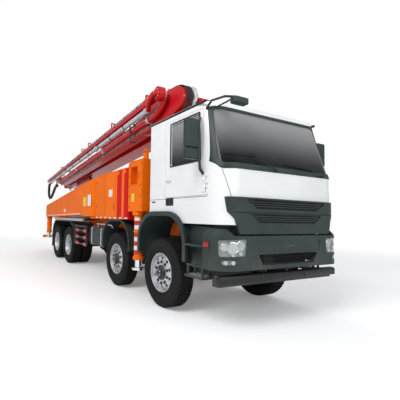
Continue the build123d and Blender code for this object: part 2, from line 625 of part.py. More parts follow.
def make_cab_inside():
    """Seats, dash and steering wheel."""
    floor = CAB_FLOOR + CAB_WALL
    pieces = []
    for y in (-520, 520):
        seat = block((150, 640), (y - 240, y + 240), (floor + 260, floor + 380))
        seat += side_plate(outline([(60, floor + 300), (190, floor + 300), (60, floor + 1000),
                                    (-60, floor + 1000)], 30), (y - 230, y + 230))
        seat += block((200, 560), (y - 180, y + 180), (floor, floor + 270))
        pieces.append(seat)
    dash = side_plate(outline([(980, floor), (1290, floor), (1290, 2060), (1180, 2100), (930, 2020),
                               (900, 1900)], 25), (-900, 900))
    column = bar((940, 520, 1960), (830, 520, 2060), 26)
    wheel = Plane(origin=(830, 520, 2060), z_dir=(-0.74, 0, 0.67)) * (Torus(205, 15) + Box(400, 36, 20))
    dash = dash + column + wheel
    save("cab_interior", *pieces, dash)


# ------------------------------------------------------------------ bumper
def bumper_plan(inset):
    """The bumper's plan at its lower edge, round at the front corners."""
    front = FRONT_OVERHANG - inset
    half = HALF_WIDTH - inset
    face = Rectangle(front - 100, 2 * half)
    face = fillet(face.vertices().group_by(Axis.X)[-1], BUMPER_CORNER - inset)
    return Pos((front + 100) / 2, 0, BUMPER_Z[0]) * face


def bumper_form(inset):
    """Solid inside the bumper's outer face."""
    return extrude(bumper_plan(inset), BUMPER_Z[1] - BUMPER_Z[0])


def make_bumper():
    """Bumper with its lamp recesses, intake and corner fairings, and the entry steps behind it."""
    low, high = BUMPER_Z
    keep = block((BUMPER_REAR, 1600), (-1300, 1300), (700, 1300))
    bumper = (bumper_form(0) - bumper_form(BUMPER_WALL)) & keep
    ledge = (bumper_form(0) - bumper_form(240)) & block((BUMPER_REAR, 1600), (-1300, 1300), (high - 35, high))
    ledge -= block((1200, 1382), (338, 432), (high - 40, high + 5))
    ledge -= block((1200, 1382), (-432, -338), (high - 40, high + 5))
    bumper += ledge
    fairing = extrude(Pos(0, 0, high - low) * bumper_plan(0), FAIRING_RISE, taper=40)
    fairing &= cross_plate(outline([(990, high - 1), (HALF_WIDTH, high - 1), (HALF_WIDTH, high + FAIRING_RISE),
                                    (1040, high + FAIRING_RISE)]), (BUMPER_REAR, 1600))
    fairing -= block((BUMPER_REAR - 1, 1210), (900, 1100), (high - 2, high + FAIRING_RISE - 12))
    bumper += fairing + mirror(fairing, about=Plane.XZ)
    intake = outline([(-600, 965), (600, 965), (510, 825), (-510, 825)], 20)
    bumper -= cross_plate(intake, (1300, 1500))
    plate = outline([(-640, 990), (640, 990), (660, 1140), (-660, 1140)], 20)
    bumper -= cross_plate(plate, (FRONT_OVERHANG - 6, 1500))
    lamp_depth = BUMPER_WALL - 12
    recess = bumper_form(-1) - bumper_form(lamp_depth)
    lens = bumper_form(8) - bumper_form(lamp_depth - SEAT_GAP)
    lamps = []
    for points in LAMP_OUTLINES.values():
        window = cross_plate(outline(points, LAMP_ROUNDING), (1000, 1500))
        bumper -= recess & (window + mirror(window, about=Plane.XZ))
        small = cross_plate(offset(outline(points, LAMP_ROUNDING), -4), (1000, 1500))
        lamps += both(lens & small)
    for side in SIDES:
        bumper += on_side(entry_steps(), side)
    save("front_bumper", bumper)
    save("headlamps", *lamps)


def entry_steps():
    """Recessed panel and two treads below the left door."""
    low, high = BUMPER_Z
    panel = block((GUARD_HALF + GUARD_THICK + SEAT_GAP, BUMPER_REAR + 5), (1040, 1060), (low, 1300))
    outer = HALF_WIDTH - 40
    panel += block((BUMPER_REAR, BUMPER_REAR + 14), (1040, outer), (low, high))
    panel += block((GUARD_HALF + GUARD_LIP + 4, BUMPER_REAR + 5), (1050, outer + 15), (1035, 1062))
    for x in (760, 1060):
        panel += block((x, x + 28), (1050, 1080), (650, low + 10))
        panel += block((x, x + 28), (outer - 25, outer), (650, low + 10))
    rail = (outer - 28, outer + 3)
    panel += block((745, 1110), rail, (low, low + 25)) + block((1100, BUMPER_REAR + 5), rail, (low, low + 25))
    return panel + block((740, 1105), (1010, outer + 25), (620, 652))


# ------------------------------------------------------------------ superstructure
def make_support_frame():
    """Subframe, outrigger housing, slewing pedestal and the rear arms' brackets."""
    low, high = SUBFRAME_Z
    frame = block((-3500, -480), (-RAIL_Y, RAIL_Y), (low, high))
    for side in SIDES.values():
        frame += block((RAIL_REAR, -3490), sorted((side * 325, side * RAIL_Y)), (low, high))
    housing_x = (BEAM_X["right"][0] - 26, BEAM_X["left"][1] + 26)
    housing = block(housing_x, (-DECK_Y, DECK_Y), (BEAM_Z[0] - 26, SLEW_PLATE_Z[0]))
    for x in BEAM_X.values():
        slot_x = (x[0] - BEAM_SLOT, x[1] + BEAM_SLOT)
        slot_z = (BEAM_Z[0] - SEAT_GAP, BEAM_Z[1] + BEAM_SLOT)
        housing -= block(slot_x, (-DECK_Y - 1, DECK_Y + 1), slot_z)
    frame += housing
    frame += block(housing_x, (-RAIL_Y, RAIL_Y), (high, BEAM_Z[0] - 25))
    frame += block((-1800, housing_x[0] + 1), (-RAIL_Y, RAIL_Y), (high, SLEW_PLATE_Z[0]))
    frame += Pos(SLEW_X, 0, sum(SLEW_PLATE_Z) / 2) * Cylinder(430, SLEW_PLATE_Z[1] - SLEW_PLATE_Z[0])
    frame += block((-2860, -1700), (-DECK_Y, DECK_Y), DECK_Z) + block((-2860, -1700), (-RAIL_Y, RAIL_Y),
                                                                    (high - 1, DECK_Z[0] + 1))
    frame += block((-3450, -3050), (-RAIL_Y, RAIL_Y), (high - 1, ARM_Z[1] + 60))
    for side in SIDES.values():
        for z in ((ARM_Z[0] - 50, ARM_Z[0] - 6), (ARM_Z[1] + 6, ARM_Z[1] + 60)):
            frame += block((ARM_PIN[0] - 150, ARM_PIN[0] + 150), sorted((side * 300, side * ARM_PIN[1])), z)
            frame += bar((ARM_PIN[0], side * ARM_PIN[1], z[0]), (ARM_PIN[0], side * ARM_PIN[1], z[1]), 150)
        frame += bar((ARM_PIN[0], side * ARM_PIN[1], ARM_Z[0] - 40),
                     (ARM_PIN[0], side * ARM_PIN[1], ARM_Z[1] + 40), ARM_PIN_RADIUS)
    save("support_frame", frame)


def make_side_boxes():
    """Orange side lockers with raised hatches, and the water and oil tanks behind them."""
    locker = block((-2860, -1090), (DECK_Y, 1205), (1360, 2350))
    for x in (-2840, -2265, -1690):
        locker += block((x, x + 555), (1200, 1215), (1400, 2310))
    tank = block((-4900, -3620), (-640, 640), (SUBFRAME_Z[1], 2050))
    tank = fillet(tank.edges().filter_by(Axis.X), 60)
    save("side_boxes", *both(locker), tank)


def outrigger_post():
    """Left front outrigger's end post with its lifting eye and the jack's tube."""
    low, high = POST_Z
    post = block(POST_X, POST_Y, POST_Z)
    post -= block((-960, -690), (POST_Y[1] - 130, POST_Y[1] + 1), (2000, 2330))
    eye = outline([(-680, high - 5), (-530, high - 5), (-545, 2600), (-600, 2640), (-655, 2600)], 18)
    post += side_plate(eye, (1100, 1140))
    post -= cross_bar(-602, (1090, 1150), 2575, EYE_RADIUS)
    post += bar((JACK_X, JACK_Y, 640), (JACK_X, JACK_Y, low + 5), JACK_TUBE)
    post += bar((JACK_X, JACK_Y, 640), (JACK_X, JACK_Y, 700), JACK_TUBE + 14)
    post -= bar((JACK_X, JACK_Y, 600), (JACK_X, JACK_Y, 1995), JACK_ROD + PIN_PLAY)
    return post


def jack(x, y, foot, top):
    """Outrigger jack: rod and foot plate."""
    shape = bar((x, y, foot + 30), (x, y, top), JACK_ROD)
    return shape + bar((x, y, foot), (x, y, foot + 40), 118)


def rear_arm():
    """Left rear outrigger arm: tapered box, round root, and the jack's tube at its end."""
    low, high = ARM_Z
    side = [(ARM_PIN[0], low), (ARM_PIN[0], high), (-3500, high), (ARM_END_X, 1770), (ARM_END_X, 1365),
            (-8100, 1350), (-3900, 1425), (-3750, low)]
    arm = side_plate(outline(side), ARM_Y)
    arm += bar((*ARM_PIN, low), (*ARM_PIN, high), ARM_ROOT_RADIUS)
    arm -= bar((*ARM_PIN, low - 1), (*ARM_PIN, high + 1), ARM_PIN_RADIUS + PIN_PLAY)
    x, y = REAR_JACK
    arm += bar((x, y, 740), (x, y, 1400), JACK_TUBE)
    arm -= bar((x, y, 700), (x, y, 1690), JACK_ROD + PIN_PLAY)
    return arm


def make_outriggers():
    """Front beams with posts, rear arms and the four jacks."""
    for side, (x_low, x_high) in BEAM_X.items():
        beam = block((x_low, x_high), (-BEAM_TAIL_Y, POST_Y[0]), BEAM_Z)
        save(f"front_outrigger_{side}", on_side(outrigger_post(), side))
        save(f"outrigger_beam_{side}", on_side(beam, side))
        save(f"front_jack_{side}", on_side(jack(JACK_X, JACK_Y, 460, 1900), side))
        save(f"rear_arm_{side}", on_side(rear_arm(), side))
        save(f"rear_jack_{side}", on_side(jack(*REAR_JACK, 560, 1600), side))


# ------------------------------------------------------------------ boom
def pack(along, above):
    """Side-view place of a point on the folded boom, from the first hinge."""
    x = BOOM_ROOT[0] - along * cos(PACK_SLOPE) - above * sin(PACK_SLOPE)
    z = BOOM_ROOT[1] - along * sin(PACK_SLOPE) + above * cos(PACK_SLOPE)
    return x, z


def boom_plate(points, y, rounding=0.0):
    """Plate cut to an outline of (along, above) points."""
    return side_plate(outline([pack(*point) for point in points], rounding), y)


def boom_bar(start, end, y, radius):
    """Round bar between two (along, above) points in one lane."""
    (x0, z0), (x1, z1) = pack(*start), pack(*end)
    return bar((x0, y, z0), (x1, y, z1), radius)


def boom_pin(point, y, radius):
    """Round bar across the boom at an (along, above) point."""
    x, z = pack(*point)
    return cross_bar(x, y, z, radius)


def section(name):
    """One boom section: box, eyes, pin to the next section and the pipe along it."""
    y = BOOM_LANES[name]
    body = boom_plate(SECTION_OUTLINES[name], y)
    start = (0.0, 0.0) if name == "1" else ELBOWS[name]
    body += boom_pin(start, y, EYE if name == "1" else EYE - 10)
    following = str(int(name) + 1)
    if following in ELBOWS:
        body += boom_pin(ELBOWS[following], y, EYE - 10)
    bore = ELBOW_PIN + PIN_PLAY
    body -= boom_pin(start, (y[0] - 1, y[1] + 1), bore)
    if following in ELBOWS:
        far = BOOM_LANES[following]
        reach = (min(y[1], far[1]) - 5, far[1]) if far[1] > y[1] else (far[0], y[0] + 5)
        body += boom_pin(ELBOWS[following], reach, ELBOW_PIN)
    body += delivery_pipe(name)
    for carrier, lane, height, tail, mouth, _ in ELBOW_CYLINDERS.values():
        if carrier == name:
            body += elbow_barrel(lane, height, tail, mouth)
    return body


def delivery_pipe(name):
    """Pipe along a section on its brackets, which reach sideways or, on the last one, up."""
    across, above, first, last = PIPES[name]
    inner, outer = BOOM_LANES[name]
    under = inner < across < outer
    pipe = boom_bar((first, above), (last, above), across, END_PIPE_RADIUS if under else PIPE_RADIUS)
    near = min((inner, outer), key=lambda face: abs(face - across))
    low, high = (above, above + 100) if under else (above - 18, above + 18)
    width = (across - 18, across + 18) if under else (min(near, across) - 4, max(near, across) + 4)
    for station in range(5):
        along = first + 150 + (last - first - 300) * station / 4
        pipe += boom_plate([(along - 30, low), (along + 30, low), (along + 30, high), (along - 30, high)],
                           width)
    return pipe


def elbow_barrel(lane, height, tail, mouth):
    """Barrel of an elbow's cylinder on its two saddles, bored for the rod."""
    barrel = boom_bar((tail, height), (mouth, height), lane, 62)
    toward = 1 if mouth > tail else -1
    seat = height + (SADDLE if height < 0 else -SADDLE)
    for along in (tail + toward * 120, mouth - toward * 120):
        barrel += boom_plate([(along - 40, height), (along + 40, height), (along + 40, seat), (along - 40, seat)],
                             (lane - 50, lane + 50))
    return barrel - boom_bar((tail + toward * 100, height), (mouth + toward * 5, height), lane, 36 + PIN_PLAY)


def elbow_rod(lane, height, tail, mouth, eye):
    """Rod of an elbow's cylinder with its eye."""
    toward = 1 if mouth > tail else -1
    rod = boom_bar((tail + toward * 700, height), (eye, height), lane, 36)
    return rod + boom_pin((eye, height), (lane - 38, lane + 38), 55)


def make_turret():
    """Slewing turret with its two cheeks, the lift cylinder's bracket and the first hinge's pin."""
    base = Pos(SLEW_X, 0, 2095) * Cylinder(415, 90 - 2 * SEAT_GAP)
    base += Pos(SLEW_X, 0, 2150) * Cylinder(285, 30)
    cheek = outline([(-1900, 2130), (-1800, 2360), (-1300, 2700), (-820, 3120), (-610, 3520), (-560, 3660),
                     (-400, 3700), (-310, 3600), (-330, 3400), (-430, 3000), (-860, 2600), (-900, 2130)])
    turret = base + side_plate(cheek, (105, 148)) + side_plate(cheek, (-148, -105))
    turret += side_plate(outline([(-760, 2700), (-720, 2670), (-430, 3060), (-350, 3400), (-400, 3400),
                                  (-480, 3080)]), (-110, 110))
    turret += cross_bar(BOOM_ROOT[0], (-148, 148), BOOM_ROOT[1], ELBOW_PIN)
    turret += cross_bar(LIFT_FOOT[0], (-110, 110), LIFT_FOOT[1], 35)
    clear = cross_bar(LIFT_FOOT[0], (-104, 104), LIFT_FOOT[1], 108)
    clear -= cross_bar(LIFT_FOOT[0], (-104, 104), LIFT_FOOT[1], 35)
    return turret - clear


def make_lift_cylinder():
    """Lift cylinder between the turret and the first section."""
    (x0, z0), (x1, z1) = LIFT_FOOT, LIFT_HEAD
    length = hypot(x1 - x0, z1 - z0)
    ux, uz = (x1 - x0) / length, (z1 - z0) / length

    def place(distance):
        return (x0 + ux * distance, 0, z0 + uz * distance)

    barrel = bar(place(0), place(length - 170), LIFT_RADIUS) + cross_bar(x0, (-75, 75), z0, 98)
    barrel -= cross_bar(x0, (-90, 90), z0, 35 + PIN_PLAY)
    barrel -= bar(place(110), place(length), LIFT_ROD + PIN_PLAY)
    rod = bar(place(150), place(length), LIFT_ROD) + cross_bar(x1, (-48, 48), z1, 60)
    save("lift_barrel", barrel)
    save("lift_rod", rod)


def make_boom():
    """Turret, lift cylinder, five sections, the elbows' rods and the end hose."""
    save("turret", make_turret())
    make_lift_cylinder()
    for name in SECTION_OUTLINES:
        body = section(name)
        if name == "1":
            x, z = LIFT_HEAD
            top = pack(500, -190)
            lug = outline([(top[0] - 130, top[1]), (top[0] + 110, top[1]), (x + 60, z - 30), (x + 20, z - 62),
                           (x - 20, z - 62), (x - 60, z - 30)])
            body += side_plate(lug, (58, 97)) + side_plate(lug, (-97, -58))
            body -= block((-770, -200), (99, 200), (3200, 4000)) + block((-770, -200), (-200, -99), (3200, 4000))
            body -= boom_plate([(240, -260), (640, -260), (640, -100), (240, -100)], (-57.5, 57.5))
        if name == "5":
            clip = (8360.0, 8420.0)
            ends = [(along, HOSE_ROUTE[-1][1] + (HOSE_ROUTE[-1][0] - along) * HOSE_FALL) for along in clip]
            ring = boom_bar(*ends, PIPES["5"][0], HOSE_RADIUS + 14)
            ring += boom_plate([(8365, -150), (8415, -150), (8415, 190), (8365, 190)],
                               (PIPES["5"][0] - 18, PIPES["5"][0] + 18))
            body += ring - boom_bar(*ends, PIPES["5"][0], HOSE_RADIUS + SEAT_GAP)
        save(f"boom_section_{name}", body)
    for name, (carrier, lane, height, tail, mouth, eye) in ELBOW_CYLINDERS.items():
        save(f"elbow_rod_{name}", elbow_rod(lane, height, tail, mouth, eye))
    make_end_hose()


def make_end_hose():
    """Delivery hose from the tip, doubled back under the last section."""
    y = PIPES["5"][0]
    points = [Vector(pack(*point)[0], y, pack(*point)[1]) for point in HOSE_ROUTE]
    path = FilletPolyline(*points, radius=HOSE_BENDS)
    hose = sweep(Plane(origin=points[0], z_dir=points[1] - points[0]) * Circle(HOSE_RADIUS), path=path)
    save("end_hose", hose)


def main():
    """Build every sub-part."""
    os.makedirs("parts", exist_ok=True)
    make_running_gear()
    make_chassis()
    make_mudguards()
    make_side_guards()
    make_rear_end()
    make_cab()
    make_bumper()
    make_support_frame()
    make_side_boxes()
    make_outriggers()
    make_boom()


main()
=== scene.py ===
"""Looks of a concrete pump truck: finishes, tyres, glass, lamps, fittings and the studio round it."""
from __future__ import annotations

import json
import logging
from dataclasses import dataclass
from enum import Enum
from math import copysign, cos, radians, sin, tau
from typing import Any, Callable, Sequence

import bmesh
import bpy
from mathutils import Matrix, Vector

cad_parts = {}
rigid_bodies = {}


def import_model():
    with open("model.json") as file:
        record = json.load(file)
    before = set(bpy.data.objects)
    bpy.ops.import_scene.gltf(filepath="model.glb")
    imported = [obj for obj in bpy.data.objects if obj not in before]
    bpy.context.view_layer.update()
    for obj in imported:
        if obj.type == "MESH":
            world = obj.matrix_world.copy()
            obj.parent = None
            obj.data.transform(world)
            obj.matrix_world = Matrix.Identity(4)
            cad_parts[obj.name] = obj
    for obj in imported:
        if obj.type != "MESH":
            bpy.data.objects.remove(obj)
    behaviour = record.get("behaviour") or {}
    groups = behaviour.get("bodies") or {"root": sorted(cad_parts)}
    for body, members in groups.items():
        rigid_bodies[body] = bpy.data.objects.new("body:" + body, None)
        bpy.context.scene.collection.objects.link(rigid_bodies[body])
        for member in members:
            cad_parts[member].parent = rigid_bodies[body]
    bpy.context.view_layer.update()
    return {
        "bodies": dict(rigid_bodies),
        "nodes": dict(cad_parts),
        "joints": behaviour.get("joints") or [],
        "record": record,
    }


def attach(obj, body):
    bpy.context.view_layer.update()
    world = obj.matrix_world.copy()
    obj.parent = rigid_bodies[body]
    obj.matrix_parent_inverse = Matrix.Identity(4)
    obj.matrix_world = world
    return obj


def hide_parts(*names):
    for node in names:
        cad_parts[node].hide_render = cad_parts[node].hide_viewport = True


logging.basicConfig(level=logging.INFO, format="%(levelname)s %(name)s: %(message)s")
LOG = logging.getLogger("pump_truck")

Number = float | int
Colour = tuple[float, float, float]
Point = tuple[float, float, float]
Point2 = tuple[float, float]
Finishes = dict[str, bpy.types.Material]


# ---------------------------------------------------------------- node trees
def maths(operation: str, swapped: bool = False) -> Callable[..., "Level"]:
    """Make a method that adds one Math node.

    Args:
        operation: the Math node's operation.
        swapped: True where the other value comes first.

    Returns:
        The method.
    """
    def join(self: "Level", other: Any = 0.0) -> "Level":
        """Join the value and the other one."""
        first, second = (other, self) if swapped else (self, other)
        return self.graph.level("ShaderNodeMath", {0: first, 1: second}, operation=operation)

    return join


@dataclass(frozen=True, eq=False)
class Level:
    """A value socket that takes part in Python arithmetic."""

    graph: "Graph"
    socket: bpy.types.NodeSocket

    __add__ = __radd__ = maths("ADD")
    __rsub__ = maths("SUBTRACT", swapped=True)
    __mul__ = __rmul__ = maths("MULTIPLY")
    __pow__ = maths("POWER")
    __gt__ = maths("GREATER_THAN")
    __lt__ = maths("LESS_THAN")
    wave = maths("SINE")

    def ramp(self, low: Number, high: Number, start: Number = 0.0, end: Number = 1.0) -> "Level":
        """Smooth step from start to end while the value goes from low to high."""
        return self.graph.level("ShaderNodeMapRange", {0: self, 1: low, 2: high, 3: start, 4: end},
                                interpolation_type="SMOOTHSTEP")


class Graph:
    """The node tree of one material or world."""

    def __init__(self, name: str, world: bool = False) -> None:
        """Start with only the output node.

        Args:
            name: name of the material or world.
            world: True for a world.
        """
        self.owner = (bpy.data.worlds if world else bpy.data.materials).new(name)
        self.owner.use_nodes = True
        self.tree = self.owner.node_tree
        self.tree.nodes.clear()
        self.output = self.tree.nodes.new(f"ShaderNodeOutput{'World' if world else 'Material'}")

    def node(self, kind: str, sockets: dict[Any, Any] | None = None, **settings: Any) -> bpy.types.Node:
        """Add a node of any type.

        Args:
            kind: the node's type.
            sockets: values or links of its inputs, by name or number.
            settings: its properties, set first.

        Returns:
            The node.
        """
        made = self.tree.nodes.new(kind)
        for name, value in settings.items():
            setattr(made, name, value)
        for key, value in (sockets or {}).items():
            target = made.inputs[key]
            value = value.socket if isinstance(value, Level) else value
            if isinstance(value, bpy.types.NodeSocket):
                self.tree.links.new(value, target)
            elif target.type == "RGBA" and len(value) == 3:
                target.default_value = (*value, 1.0)
            else:
                target.default_value = value
        return made

    def level(self, kind: str, sockets: dict[Any, Any] | None = None, output: Any = 0, **settings: Any) -> Level:
        """Add a node as node() does and take one of its outputs, by name or number, as a value."""
        return Level(self, self.node(kind, sockets, **settings).outputs[output])

    def place(self) -> bpy.types.NodeSocket:
        """Object coordinates."""
        return self.node("ShaderNodeTexCoord").outputs["Object"]

    def stretched(self, scale: Point) -> bpy.types.NodeSocket:
        """Object coordinates, stretched along the axes."""
        return self.node("ShaderNodeMapping", {"Vector": self.place(), "Scale": scale}).outputs[0]

    def axes(self) -> tuple[Level, Level, Level]:
        """X, Y and Z of the Object coordinates."""
        parts = self.node("ShaderNodeSeparateXYZ", {0: self.place()})
        return tuple(Level(self, parts.outputs[number]) for number in range(3))

    def noise(self, scale: float, detail: float = 2.0, rough: float = 0.5,
              place: bpy.types.NodeSocket | None = None) -> Level:
        """Noise about 0.5, by waves in a metre, octaves, strength of the fine ones and coordinates."""
        return self.level("ShaderNodeTexNoise", {"Vector": place or self.place(), "Scale": scale, "Detail": detail,
                                                 "Roughness": rough})

    def cells(self, scale: float, feature: str = "F1") -> Level:
        """Distance over a pattern of cells, by how many lie in a metre and what it is taken to."""
        return self.level("ShaderNodeTexVoronoi", {"Vector": self.place(), "Scale": scale}, feature=feature)

    def blend(self, amount: Any, first: Any, second: Any) -> bpy.types.NodeSocket:
        """Colour between two colours, the first at an amount of 0 and the second at 1."""
        return self.node("ShaderNodeMix", {0: amount, 6: first, 7: second}, data_type="RGBA", blend_type="MIX",
                         clamp_factor=True).outputs[2]

    def bump(self, height: Level, strength: float, distance: float) -> bpy.types.NodeSocket:
        """Normal of a relief, by its height, how much of it counts and its depth in metres."""
        return self.node("ShaderNodeBump", {"Strength": strength, "Distance": distance, "Height": height}).outputs[0]

    def close(self, shader: bpy.types.Node) -> Any:
        """Link a shader to the output and give the material or world."""
        self.tree.links.new(shader.outputs[0], self.output.inputs[0])
        return self.owner

    def surface(self, **sockets: Any) -> bpy.types.Material:
        """End in one Principled shader, its inputs named with _ for a space."""
        named = {name.replace("_", " "): value for name, value in sockets.items()}
        return self.close(self.node("ShaderNodeBsdfPrincipled", named))


# ---------------------------------------------------------------- finishes
class Dirt(Enum):
    """How much road dust a finish carries low down."""

    CLEAN = 0.0
    LIGHT = 0.25
    ROAD = 0.55


def road_dust(graph: Graph, dirt: Dirt, top: float = 1.6) -> Level:
    """Dust that thins out upwards and gathers in patches.

    Args:
        graph: the material's graph.
        dirt: how much there is.
        top: height in metres where it ends.

    Returns:
        The share of dust.
    """
    height = graph.axes()[2]
    patches = graph.noise(2.3, 5.0, 0.6).ramp(0.35, 0.75)
    return height.ramp(0.0, top, 1.0, 0.0) * patches * dirt.value


def toned(colour: Colour, factor: float, lift: float = 0.0) -> Colour:
    """A colour made deeper or paler, by a factor and a lift."""
    return tuple(min(1.0, channel * factor + lift) for channel in colour)


@dataclass(frozen=True)
class GlossPaint:
    """Sprayed paint under a clear coat."""

    name: str
    colour: Colour
    roughness: float = 0.3
    coat: float = 0.6
    dirt: Dirt = Dirt.LIGHT
    specular: float = 0.4

    def make(self) -> bpy.types.Material:
        """Build the material."""
        graph = Graph(self.name)
        tone = graph.noise(0.9, 3.0, 0.55).ramp(0.3, 0.7)
        dust = road_dust(graph, self.dirt)
        coloured = graph.blend(dust, graph.blend(tone, self.colour, toned(self.colour, 0.9)), (0.32, 0.29, 0.25))
        streaks = graph.noise(1.0, 4.0, 0.6, graph.stretched((9.0, 9.0, 0.8))).ramp(0.45, 0.8)
        return graph.surface(Base_Color=coloured, Roughness=streaks * 0.06 + dust * 0.5 + self.roughness,
                             Coat_Weight=(1 - dust) * self.coat, Coat_Roughness=0.06, Metallic=0.0,
                             Specular_IOR_Level=self.specular)


@dataclass(frozen=True)
class SatinMetal:
    """Chassis paint or bare metal with a rough, rolled surface."""

    name: str
    colour: Colour
    roughness: float = 0.5
    metallic: float = 0.0
    dirt: Dirt = Dirt.ROAD
    relief: float = 0.001

    def make(self) -> bpy.types.Material:
        """Build the material."""
        graph = Graph(self.name)
        mottled = graph.noise(14.0, 4.0, 0.65).ramp(0.35, 0.7)
        dust = road_dust(graph, self.dirt, 1.3)
        rolled = graph.blend(mottled, self.colour, toned(self.colour, 1.5, 0.01))
        return graph.surface(Base_Color=graph.blend(dust, rolled, (0.24, 0.21, 0.17)), Metallic=self.metallic,
                             Roughness=mottled * 0.12 + dust * 0.3 + self.roughness,
                             Normal=graph.bump(graph.noise(90.0, 4.0, 0.7), 0.25, self.relief))


@dataclass(frozen=True)
class BrightMetal:
    """Plated or ground metal with fine turning marks."""

    name: str
    colour: Colour
    roughness: float = 0.12
    marks: float = 900.0

    def make(self) -> bpy.types.Material:
        """Build the material."""
        graph = Graph(self.name)
        film = graph.noise(6.0, 4.0, 0.6).ramp(0.4, 0.8)
        return graph.surface(Base_Color=graph.blend(film * 0.35, self.colour, toned(self.colour, 0.6)), Metallic=1.0,
                             Roughness=film * 0.14 + self.roughness,
                             Normal=graph.bump(graph.noise(self.marks, 1.0), 0.08, 0.0002))


@dataclass(frozen=True)
class GrainedPlastic:
    """Moulded plastic or rubber with a leather-like grain."""

    name: str
    colour: Colour
    roughness: float = 0.45
    grain: float = 420.0
    dirt: Dirt = Dirt.LIGHT
    specular: float = 0.3

    def make(self) -> bpy.types.Material:
        """Build the material."""
        graph = Graph(self.name)
        cloudy = graph.noise(3.0, 3.0, 0.5).ramp(0.3, 0.75)
        dust = road_dust(graph, self.dirt, 1.4)
        clouded = graph.blend(cloudy, self.colour, toned(self.colour, 1.35, 0.004))
        return graph.surface(Base_Color=graph.blend(dust, clouded, (0.27, 0.25, 0.22)),
                             Roughness=cloudy * 0.08 + dust * 0.3 + self.roughness, Specular_IOR_Level=self.specular,
                             Normal=graph.bump(graph.cells(self.grain), 0.25, 0.0006))


@dataclass(frozen=True)
class TintedGlass:
    """Dark toughened glass with painted light: its colour is painted paler towards its top, where the light falls
    through.
    """

    name: str
    # low is the glass's own dark colour; high is painted light at its top
    low: Colour = (0.005, 0.006, 0.007)
    high: Colour = (0.30, 0.302, 0.306)

    def make(self) -> bpy.types.Material:
        """Build the material."""
        graph = Graph(self.name)
        film = graph.noise(5.0, 4.0, 0.6).ramp(0.45, 0.8)
        # painted light: the colour goes from low to high with height
        coloured = graph.blend(graph.axes()[2].ramp(2.12, 3.0), self.low, self.high)
        return graph.surface(Base_Color=coloured, Roughness=film * 0.05 + 0.03, Transmission_Weight=0.05, IOR=1.28)


@dataclass(frozen=True)
class ClearLens:
    """Clear polycarbonate over a lamp."""

    name: str
    colour: Colour = (0.9, 0.93, 0.95)
    clear: float = 0.9

    def make(self) -> bpy.types.Material:
        """Build the material."""
        graph = Graph(self.name)
        flutes = (graph.axes()[1] * 520.0).wave()
        haze = graph.noise(20.0, 3.0).ramp(0.4, 0.8)
        return graph.surface(Base_Color=self.colour, Roughness=haze * 0.05 + 0.03, IOR=1.49,
                             Transmission_Weight=self.clear, Normal=graph.bump(flutes, 0.06, 0.001))


@dataclass(frozen=True)
class StripedPaint:
    """Sprayed paint with upright bands of a second colour at given places along the truck."""

    name: str
    colour: Colour
    band: Colour
    places: tuple[Point2, ...]
    roughness: float = 0.5

    def make(self) -> bpy.types.Material:
        """Build the material."""
        graph = Graph(self.name)
        x = graph.axes()[0]
        mask: Any = 0.0
        for start, end in self.places:
            mask = (x > start) * (x < end) + mask
        ground = graph.blend(graph.noise(0.9, 3.0, 0.55).ramp(0.3, 0.7), self.colour, toned(self.colour, 0.9))
        dust = road_dust(graph, Dirt.LIGHT)
        coloured = graph.blend(dust, graph.blend(mask, ground, self.band), (0.32, 0.29, 0.25))
        return graph.surface(Base_Color=coloured, Roughness=dust * 0.4 + self.roughness, Specular_IOR_Level=0.12)


@dataclass(frozen=True)
class ReflectiveTape:
    """Bright film with a fine honeycomb."""

    name: str
    colour: Colour

    def make(self) -> bpy.types.Material:
        """Build the material."""
        graph = Graph(self.name)
        cell = graph.cells(160.0, "DISTANCE_TO_EDGE").ramp(0.0, 0.08)
        wear = graph.noise(12.0, 4.0, 0.6).ramp(0.45, 0.85)
        coloured = graph.blend(cell * 0.8 + 0.2, toned(self.colour, 0.7), self.colour)
        return graph.surface(Base_Color=graph.blend(wear * 0.4, coloured, (0.30, 0.28, 0.25)),
                             Roughness=wear * 0.3 + 0.28)


# ---------------------------------------------------------------- places
FRONT_AXLE = 4.45              # metres ahead of the part's origin
PACK_SLOPE = radians(5.0)      # the folded boom falls towards the rear
FIRST_HINGE = (-450.0, 3559.0)
SQUARE = ((-1, -1), (1, -1), (1, 1), (-1, 1))
X, Y, Z = Vector((1, 0, 0)), Vector((0, 1, 0)), Vector((0, 0, 1))


def spot(x: Number, y: Number, z: Number) -> Vector:
    """Place in metres of a point in millimetres from the front axle, the middle and the ground."""
    return Vector((x / 1000 + FRONT_AXLE, y / 1000, z / 1000))


def on_boom(along: Number, above: Number, across: Number) -> Vector:
    """Place in metres of a point of the folded boom.

    Args:
        along: millimetres from the first hinge towards the rear.
        above: millimetres above the folded boom's middle line.
        across: millimetres to the left of the truck's middle.

    Returns:
        The place.
    """
    x = FIRST_HINGE[0] - along * cos(PACK_SLOPE) - above * sin(PACK_SLOPE)
    z = FIRST_HINGE[1] - along * sin(PACK_SLOPE) + above * cos(PACK_SLOPE)
    return spot(x, across, z)


ALONG = (on_boom(1000, 0, 0) - on_boom(0, 0, 0)).normalized()
ABOVE = (on_boom(0, 1000, 0) - on_boom(0, 0, 0)).normalized()


def rounded_front(front: float, half: float, corner: float, y: float) -> float:
    """Place along the truck of a front with rounded ends.

    Args:
        front: where its middle is.
        half: half its width.
        corner: radius of its ends.
        y: how far to the left.

    Returns:
        Millimetres ahead of the front axle.
    """
    past = abs(y) - (half - corner)
    return front + ((corner ** 2 - min(past, corner - 1.0) ** 2) ** 0.5 - corner) if past > 0 else front


class Side(Enum):
    """The truck's two sides, with the sign of +Y there."""

    LEFT = 1
    RIGHT = -1

    @property
    def word(self) -> str:
        """The side's name as the bodies carry it."""
        return self.name.lower()


